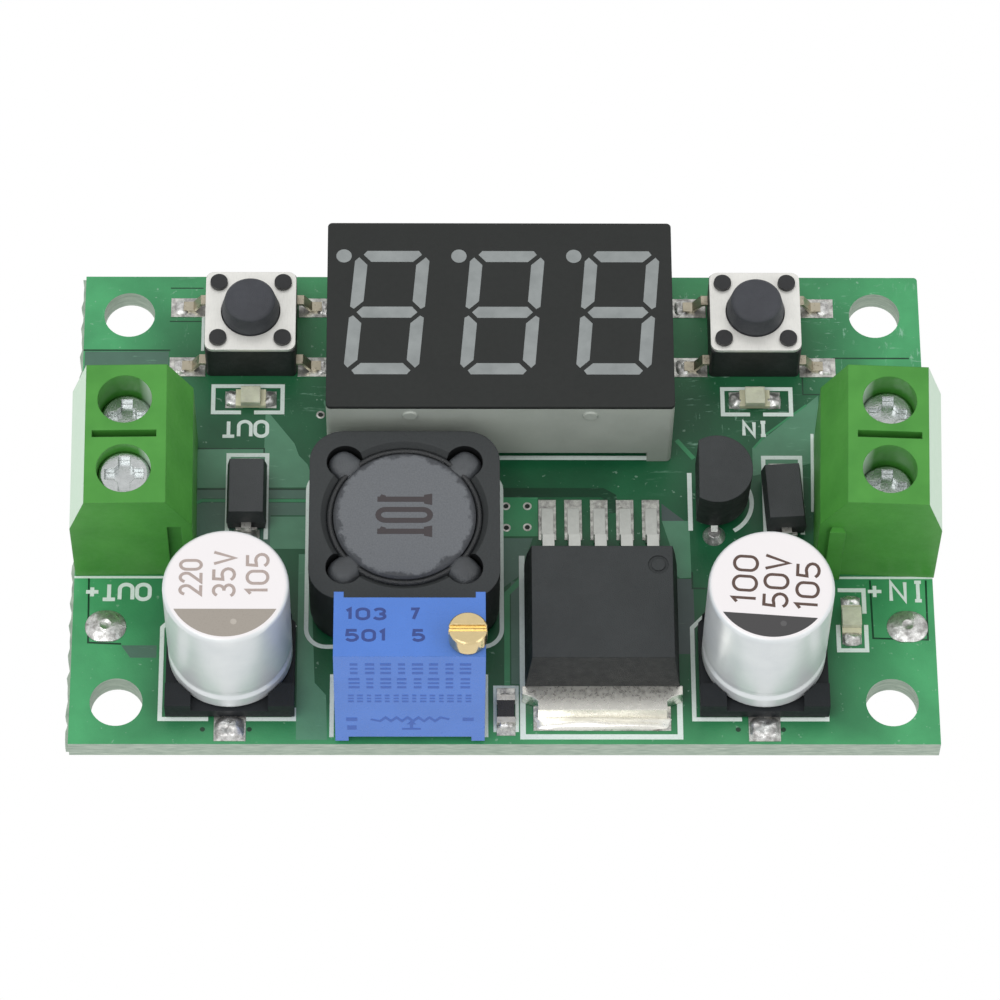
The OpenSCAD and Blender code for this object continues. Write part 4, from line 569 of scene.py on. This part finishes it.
def copper():
    pale = Plates(SKIN, BOARD_TOP + 0.004)
    for outline in (
        [(-20.3, 4.15), (-15.8, 4.2), (-15.75, 6.9), (-15.5, 6.9), (-13.8, 4.6), (-13.5, 3.7), (-12.9, 3.0),
         (-12.4, 1.3), (-20.3, 1.25)],
        [(-15.3, -0.9), (-12.3, -0.9), (-12.3, -3.3), (-15.3, -3.3)],
        [(-13.4, -3.7), (-12.6, -3.7), (-12.4, -9.5), (-12.25, -13.1), (-11.5, -14.0), (-11.4, -17.2), (-13.4, -17.2)],
        [(16.5, 4.3), (20.2, 7.6), (21.0, 8.3), (21.0, 3.3), (16.5, 2.2)],
        [(10.4, -1.2), (12.2, -1.2), (12.25, -5.4), (11.5, -5.45), (10.9, -4.9), (10.9, -3.0)],
    ):
        pale.polygon(outline)
    pale.make("copper_pale", mask_over_copper("mask_pale", (82, 136, 106)))
    grey = Plates(SKIN, BOARD_TOP + 0.003)
    for outline in (
        [(-20.3, 1.1), (-12.6, 1.1), (-12.6, 0.45), (-19.8, 0.45), (-20.3, 0.1)],
        [(-20.3, -0.1), (-19.8, 0.15), (-12.6, 0.15), (-12.5, -0.8), (-15.3, -0.8), (-15.3, -5.3), (-20.3, -5.3)],
        [(-27.9, 11.65), (-22.3, 11.65), (-22.3, 5.0), (-27.9, 5.0)],
        [(-24.8, -10.4), (-22.5, -10.4), (-22.5, -11.3), (-24.2, -11.3)],
        [(0.45, -5.7), (1.0, -5.7), (1.0, -13.2), (0.45, -13.2)],
        [(-0.1, -2.5), (1.9, -2.5), (1.0, -5.3), (-0.1, -6.2)],
    ):
        grey.polygon(outline)
    grey.make("copper_grey", mask_over_copper("mask_grey", (74, 110, 94)))
    smoke = Plates(SKIN, BOARD_TOP + 0.0035)
    smoke.polygon([(11.1, -5.5), (12.35, -5.5), (12.4, -11.0), (11.1, -11.0)])
    smoke.polygon([(10.4, 0.1), (11.9, -1.2), (10.4, -1.2)])
    smoke.make("copper_smoke", mask_over_copper("mask_smoke", (68, 84, 82)))
    bright = Plates(SKIN, BOARD_TOP + 0.005)
    bright.line([(-20.3, 0.05), (-19.85, 0.3), (-12.7, 0.3)], 0.2)
    bright.line([(1.3, -5.4), (0.2, -6.6), (0.17, -13.3)], 0.36)
    bright.polygon([(-0.15, 0.55), (2.25, 0.55), (2.25, -2.35), (-0.15, -2.35)])
    bright.line([(11.5, 4.9), (12.6, 3.5)], 0.3)
    bright.line([(16.6, 4.3), (17.4, 5.3), (20.2, 7.6)], 0.14)
    bright.make("copper_bright", mask_over_copper("mask_bright", (52, 138, 90)))
    gaps = Plates(SKIN, BOARD_TOP + 0.006)
    gaps.line([(-28.0, 11.75), (-22.2, 11.75)], 0.12)
    gaps.line([(-20.3, 4.22), (-15.8, 4.22), (-15.8, 3.8)], 0.1)
    gaps.line([(-12.6, 1.15), (-20.3, 1.15)], 0.12)
    gaps.line([(-0.3, 0.92), (6.5, 0.92), (7.1, 0.55), (7.3, -0.6)], 0.7)
    gaps.line([(22.1, 11.2), (27.2, 11.2)], 0.1)
    gaps.line([(20.0, 9.8), (20.0, 8.4), (21.2, 8.4)], 0.1)
    gaps.line([(23.9, -5.6), (23.95, -9.85), (27.5, -9.95), (27.55, -5.6)], 0.12)
    gaps.line([(-27.05, -5.4), (-26.95, -10.2), (-24.8, -10.3)], 0.12)
    gaps.line([(12.3, -5.0), (12.3, -6.2), (13.4, -6.2)], 0.12)
    gaps.line([(-22.3, 16.6), (-20.1, 16.6)], 0.08)
    gaps.line([(-22.3, 14.0), (-20.1, 14.0)], 0.08)
    gaps.make("copper_gaps", mask_over_copper("mask_gap", (4, 58, 34)))
    pits = Plates(SKIN, BOARD_TOP + 0.006)
    for x in (-19.4, -16.4, 15.0, 17.9):
        pits.polygon(disc(x, -16.45, 0.17, 12))
    pits.make("mask_pits", mask_over_copper("mask_pit", (10, 52, 30)))


def vias():
    spots = [(0.16, -0.11), (1.57, -0.11), (0.18, -1.72), (1.56, -1.68), (-12.1, 6.8)]
    ring("via_rings", spots, 0.29, 0.17, SKIN, BOARD_TOP + 0.02, M["pad"])
    dark = Plates(SKIN, BOARD_TOP + 0.008)
    for x, y in spots:
        dark.polygon(disc(x, y, 0.17, 16))
    dark.make("via_holes", mask_over_copper("via_dark", (14, 30, 20), 0.6))


# ------------------------------------------------------------ silkscreen


def silkscreen():
    pen = 0.28
    p = Plates(SKIN, BOARD_TOP + 0.02)
    p.line([(-11.0, 3.54), (10.3, 3.54)], 0.3)
    # boxes round the two back lights, open in the middle of their front
    for lo_x, hi_x, gap_lo, gap_hi, lo_y, hi_y in (
        (-19.25, -14.65, -17.39, -16.52, 6.97, 8.98), (14.63, 19.17, 16.43, 17.3, 6.86, 8.81),
    ):
        p.line([(gap_lo, lo_y), (lo_x, lo_y), (lo_x, hi_y), (hi_x, hi_y), (hi_x, lo_y), (gap_hi, lo_y)], pen)
    # marks round the front light
    p.line([(21.77, -6.33), (23.45, -6.33), (23.45, -8.05)], pen)
    p.line([(21.7, -8.88), (21.7, -10.73), (23.52, -10.73), (23.52, -8.88)], pen)
    p.line([(-0.62, -13.42), (0.8, -13.42), (0.8, -16.52), (-0.62, -16.52)], 0.22, closed=True)
    # trimmer sides
    p.line([(-11.12, -12.5), (-11.12, -17.0)], pen)
    p.line([(-1.2, -12.5), (-1.2, -17.0)], pen)
    # power regulator
    p.line([(1.17, -3.81), (1.17, -16.98), (11.28, -16.98), (11.28, -13.3)], 0.36)
    # capacitors, with chamfered back corners
    for lo, hi, gap in ((-22.17, -13.55, (-19.05, -16.85)), (12.2, 20.75, (15.26, 17.49))):
        p.line([(gap[0], -15.72), (lo, -15.72), (lo, -9.1), (lo + 1.9, -7.1), (hi - 1.9, -7.1), (hi, -9.1)], pen)
        p.line([(gap[1], -15.72), (hi, -15.72), (hi, -14.9)], pen)
    # inductor
    lo_x, hi_x, lo_y, hi_y, r = -12.85, -0.15, -10.5, 2.4, 1.3
    p.line(
        arc(lo_x + r, lo_y + r, r, 180, 270, 8) + arc(hi_x - r, lo_y + r, r, 270, 360, 8)
        + arc(hi_x - r, hi_y - r, r, 0, 90, 8) + arc(lo_x + r, hi_y - r, r, 90, 180, 8),
        pen, closed=True)
    # supply regulator
    p.line([(12.28, 2.4), (12.28, -1.92)], 0.3)
    p.line(arc(13.9, 0.2, 2.45, 40, -60, 14), pen)
    # diodes
    p.line([(-18.14, -2.6), (-18.14, 3.72), (-15.59, 3.72), (-15.59, -2.6)], pen)
    p.line([(17.2, -2.2), (17.2, 3.57), (19.64, 3.57), (19.64, -2.2)], pen)
    # terminals and the left switch
    p.line([(-28.0, -5.42), (-20.2, -5.42)], 0.16)
    p.line([(20.45, -5.42), (28.0, -5.42)], 0.16)
    p.line([(20.5, 5.38), (20.34, -0.51)], 0.2)
    p.line([(-20.05, 14.57), (-20.05, 11.71)], 0.2)
    write(p, "OUT", -17.1, 5.71, 1.36, 3.2, 0.24, 180)
    write(p, "IN", 16.71, 5.76, 1.24, 1.68, 0.24, 180, 0.4)
    write(p, "OUT+", -25.13, -6.5, 1.35, 4.4, 0.26, 180)
    write(p, "IN+", 25.48, -6.42, 1.6, 3.74, 0.24, 180, 0.42)
    p.make("silkscreen", M["silk"])


# --------------------------------------------------------------- prints


def can_print(name, node, rows, tilt, band_rgb, ink_rgb, chord_y, spot):
    """Ratings and the negative mark on a capacitor's top."""
    lo, hi = corner_box(node)
    x, y, z, r = (lo[0] + hi[0]) / 2, (lo[1] + hi[1]) / 2, hi[2], (hi[0] - lo[0]) / 2 - 0.35
    at = Matrix.Translation((x, y, z)) @ Matrix.Rotation(math.radians(tilt), 4, "Z")
    band = Plates(-0.01, 0.006)
    half = math.degrees(math.acos(-chord_y / r))
    band.polygon(arc(0, 0, r, -90 - half, -90 + half, 40))
    band.make(name + "_band", ink(name + "_band", band_rgb, 0.25, 0.45), at=at)
    dots = Plates(-0.01, 0.009)
    dots.polygon(disc(spot[0], spot[1], 0.2, 18))
    dots.make(name + "_spot", ink(name + "_spot", tuple(min(255, c + 22) for c in band_rgb), 0.2), at=at)
    p = Plates(-0.01, 0.006)
    for text, px, py, length, height in rows:
        write(p, text, px, py, height, length, 0.2, 90, 0.26)
    p.make(name + "_print", ink(name + "_ink", ink_rgb, 0.6, 0.5), at=at)


def coil_code():
    """Plain value code on the coil's core."""
    lo, hi = corner_box("inductor_core")
    x, y, z = (lo[0] + hi[0]) / 2, (lo[1] + hi[1]) / 2, hi[2]
    p = Plates(-0.01, 0.008)
    for dy in (1.15, -1.2):
        p.line([(-1.75, dy), (1.6, dy)], 0.38)
        p.polygon([(1.25, dy + 0.32), (1.78, dy + 0.42), (1.78, dy - 0.42), (1.25, dy - 0.32)])
        p.polygon([(-1.78, dy - 0.12), (-1.5, dy + 0.36), (-1.2, dy + 0.26), (-1.3, dy - 0.12)])
    p.line(arc(-1.2, 0, 0.5, 90, 270, 10, ry=0.4) + arc(1.15, 0, 0.5, 270, 450, 10, ry=0.4), 0.36, closed=True)
    p.make("coil_code", ink("coil_ink", (58, 52, 54), 0.5, 0.6), at=Matrix.Translation((x, y, z)))


def coil_glue():
    """Grey resin between the coil's core and its shield, with rounded fillings in the four notches."""
    lo, hi = corner_box("inductor_core")
    x, y, r = (lo[0] + hi[0]) / 2, (lo[1] + hi[1]) / 2, (hi[0] - lo[0]) / 2
    top = corner_box("inductor_shield")[1][2]
    steps, rows = 96, 7
    verts, faces = [], []
    for k in range(steps):
        a = 2 * math.pi * k / steps
        for i in range(rows):
            t = i / (rows - 1)
            rr = r - 0.02 + 0.5 * t
            hump = math.sin(math.pi * t) ** 0.6
            lump = noise.noise(Vector((math.cos(a) * 2.2 + t, math.sin(a) * 2.2, 4.0)))
            z = top - 0.5 + hump * 0.34 + 0.08 * lump * hump
            verts.append((x + rr * math.cos(a), y + rr * math.sin(a), z))
    for k in range(steps):
        n = (k + 1) % steps
        for i in range(rows - 1):
            faces.append((k * rows + i, k * rows + i + 1, n * rows + i + 1, n * rows + i))
    add_mesh("coil_glue", verts, faces, M["glue"], smooth=True)
    for q in range(4):
        a = math.radians(45 + 90 * q)
        cx, cy = x + NOTCH_REACH * math.cos(a), y + NOTCH_REACH * math.sin(a)
        mound(f"coil_notch_{q}", cx, cy, 2.3, 2.1, 0.62, top - 0.66, M["glue_pale"], 2.4, 0.12, turn=a, seed=9.0 + q)


def trimmer_print():
    """Blurred marks on the trimmer: plain numbers on top, rows of bars and a resistor sign in front."""
    lo, hi = corner_box("trimmer_housing")
    x = (lo[0] + hi[0]) / 2
    lean = math.radians(5.5)
    dark = ink("trimmer_ink", (44, 66, 132), 0.5, 0.4)
    pale = ink("trimmer_marks", (44, 88, 172), 0.35, 0.35)
    # the housing leans back about its lower back edge
    foot = Matrix.Translation((x, TRIM_BACK, BOARD_TOP)) @ Matrix.Rotation(-lean, 4, "X")
    on_top = foot @ Matrix.Translation((0, -TRIM_D / 2, TRIM_H))
    p = Plates(-0.01, 0.006)
    write(p, "103", -2.75, 0.75, 0.95, 2.6, 0.2, 0, 0.3)
    write(p, "501", -2.75, -0.85, 0.95, 2.6, 0.2, 0, 0.3)
    write(p, "7", 0.3, 0.75, 0.95, 0.62, 0.2)
    write(p, "5", 0.55, -0.85, 0.95, 0.85, 0.2)
    p.make("trimmer_top_print", dark, at=on_top)
    in_front = foot @ Matrix.Translation((0, -TRIM_D, 0)) @ Matrix.Rotation(math.radians(90), 4, "X")
    p = Plates(-0.01, 0.006)
    for z, h, n, w in ((8.6, 1.0, 8, 0.72), (6.9, 0.95, 8, 0.72), (5.1, 0.7, 14, 0.42)):
        span = 8.0
        for i in range(n):
            cx = -4.0 + span * (i + 0.5) / n
            wide = w * (0.8 + 0.2 * math.cos(i * 2.4 + z))
            p.line([(cx - wide / 2, z + h / 2), (cx + wide / 2, z + h / 2)], h * 0.26)
            p.line([(cx - wide / 2, z), (cx + wide / 2, z)], h * 0.2)
            p.line([(cx - wide / 2, z - h / 2), (cx + wide / 2, z - h / 2)], h * 0.26)
    zigzag = [(-2.5, 2.6)] + [(-1.9 + 0.35 * i, 2.6 + (0.22 if i % 2 else -0.22)) for i in range(12)] + [(2.5, 2.6)]
    p.line(zigzag, 0.2)
    p.line([(0.1, 2.2), (0.1, 1.4)], 0.2)
    p.polygon([(-0.2, 2.0), (0.4, 2.0), (0.1, 2.45)])
    p.line([(-0.5, 1.45), (0.7, 1.45)], 0.2)
    for cx in (-3.7, 3.7):
        p.line([(cx - 0.35, 2.6), (cx + 0.35, 2.6)], 0.4)
    p.line([(-4.0, 1.6), (-3.4, 1.6)], 0.5)
    p.make("trimmer_front_print", pale, at=in_front)


# --------------------------------------------------------------- solder


def solder_work():
    m = M["solder"]
    for i, node in enumerate(("output_capacitor_leads", "input_capacitor_leads")):
        lo, hi = corner_box(node)
        x = (lo[0] + hi[0]) / 2
        for j, y in enumerate((lo[1] - 0.05, hi[1] + 0.05)):
            mound(f"cap_solder_{i}{j}", x, y, 1.95, 1.7, 0.36, BOARD_TOP + 0.04, m, 3.4, 0.5, seed=3.1 * i + j)
    for i, (x, y, turn) in enumerate((
        (-17.9, 7.97, 0), (-15.6, 7.97, 0), (15.63, 7.87, 0), (17.95, 7.87, 0), (22.55, -7.3, 1), (22.55, -9.9, 1),
    )):
        w, d = (1.15, 1.25) if not turn else (1.25, 1.05)
        mound(f"light_solder_{i}", x, y, w, d, 0.3, BOARD_TOP + 0.04, m, 3.2, 0.45, seed=7.7 + i)
    for i, y in enumerate((-14.3, -16.15)):
        mound(f"chip_solder_{i}", 0.08, y, 1.15, 0.75, 0.3, BOARD_TOP + 0.04, m, 3.2, 0.4, seed=20.0 + i)
    mound("tab_solder", 6.27, -16.0, 8.7, 1.0, 0.3, BOARD_TOP + 0.04, M["tab"], 7, 0.25, seed=41.0)
    for s, x0 in enumerate((-16.75, 16.76)):
        for i, sx in enumerate((-1, 1)):
            for j, sy in enumerate((-1, 1)):
                mound(f"leg_solder_{s}{i}{j}", x0 + sx * 4.75, 12.75 + sy * 2.3, 0.9, 1.15, 0.16,
                      BOARD_TOP + 0.04, m, 3.4, 0.4, seed=50.0 + 4 * s + 2 * i + j)
    for s, (x, y) in enumerate(((-16.85, 0.2), (18.37, -0.15))):
        for j, sy in enumerate((-1, 1)):
            mound(f"diode_solder_{s}{j}", x, y + sy * 2.75, 1.5, 0.8, 0.45, BOARD_TOP + 0.04, m, 3.4, 0.3,
                  seed=60.0 + 2 * s + j)


copper()
vias()
silkscreen()
can_print("out_can", "output_capacitor_can",
          [("220", -2.2, 0.53, 2.6, 1.5), ("35V", -0.1, 0.77, 3.3, 1.5), ("105", 2.0, 0.77, 3.0, 1.5)],
          0, (152, 145, 136), (168, 154, 148), -1.7, (0.55, -2.6))
can_print("in_can", "input_capacitor_can",
          [("100", -1.7, 0.31, 3.45, 1.65), ("50V", 0.27, 0.32, 3.8, 1.65), ("105", 2.25, 0.12, 3.4, 1.55)],
          -4.3, (62, 61, 62), (84, 64, 56), -2.1, (0.85, -2.65))
coil_glue()
trimmer_print()
coil_code()
solder_work()


# ----------------------------------------------------- camera and light


def look(target, elevation, azimuth, roll, distance, lens_mm):
    e, a, r = (math.radians(v) for v in (elevation, azimuth, roll))
    back = Vector((math.sin(a) * math.cos(e), -math.cos(a) * math.cos(e), math.sin(e)))
    right = (-back).cross(Vector((0, 0, 1))).normalized()
    up = right.cross(-back)
    right, up = right * math.cos(r) + up * math.sin(r), up * math.cos(r) - right * math.sin(r)
    cam = bpy.data.objects.new("camera", bpy.data.cameras.new("camera"))
    bpy.context.scene.collection.objects.link(cam)
    place = Matrix((right, up, back)).transposed().to_4x4()
    place.translation = (Vector(target) + back * distance) * MM
    cam.matrix_world = place
    cam.data.lens = lens_mm
    cam.data.sensor_width = 36
    cam.data.clip_start, cam.data.clip_end = 0.01, 10
    bpy.context.scene.camera = cam


look((-0.223, 0.362, BOARD_TOP), 61.22, -1.48, 1.36, 331.361, 181.26)


def softbox(name, place, aim, size, watts, rgb=(1, 1, 1)):
    light = bpy.data.lights.new(name, "AREA")
    light.shape = "RECTANGLE"
    light.size, light.size_y = size
    light.energy = watts
    light.color = rgb
    obj = bpy.data.objects.new(name, light)
    bpy.context.scene.collection.objects.link(obj)
    obj.location = place
    obj.rotation_euler = (Vector(aim) - Vector(place)).to_track_quat("-Z", "Y").to_euler()
    obj.visible_camera = False


softbox("key", (-0.16, -0.17, 0.4), (0, 0, 0), (0.34, 0.3), 0.75)
softbox("fill", (0.3, -0.12, 0.28), (0, 0, 0), (0.25, 0.25), 0.2)


def world():
    w = bpy.data.worlds.new("tent")
    bpy.context.scene.world = w
    w.use_nodes = True
    t = w.node_tree
    t.nodes.clear()
    out = t.nodes.new("ShaderNodeOutputWorld")
    path = t.nodes.new("ShaderNodeLightPath")
    coord = t.nodes.new("ShaderNodeTexCoord")
    split = t.nodes.new("ShaderNodeSeparateXYZ")
    t.links.new(coord.outputs["Generated"], split.inputs[0])
    height = t.nodes.new("ShaderNodeMapRange")
    for key, value in (("From Min", 0.0), ("From Max", 0.6), ("To Min", 1.15), ("To Max", 1.05)):
        height.inputs[key].default_value = value
    t.links.new(split.outputs[2], height.inputs["Value"])
    tent = t.nodes.new("ShaderNodeBackground")
    t.links.new(height.outputs["Result"], tent.inputs["Strength"])
    white = t.nodes.new("ShaderNodeBackground")
    white.inputs["Strength"].default_value = 1.0
    white.inputs["Color"].default_value = (1, 1, 1, 1)
    mix = t.nodes.new("ShaderNodeMixShader")
    t.links.new(path.outputs["Is Camera Ray"], mix.inputs[0])
    t.links.new(tent.outputs[0], mix.inputs[1])
    t.links.new(white.outputs[0], mix.inputs[2])
    t.links.new(mix.outputs[0], out.inputs["Surface"])


world()

scene = bpy.context.scene
scene.render.engine = "CYCLES"
scene.cycles.samples = 128
scene.render.resolution_x = scene.render.resolution_y = 1000
scene.view_settings.view_transform = "Standard"
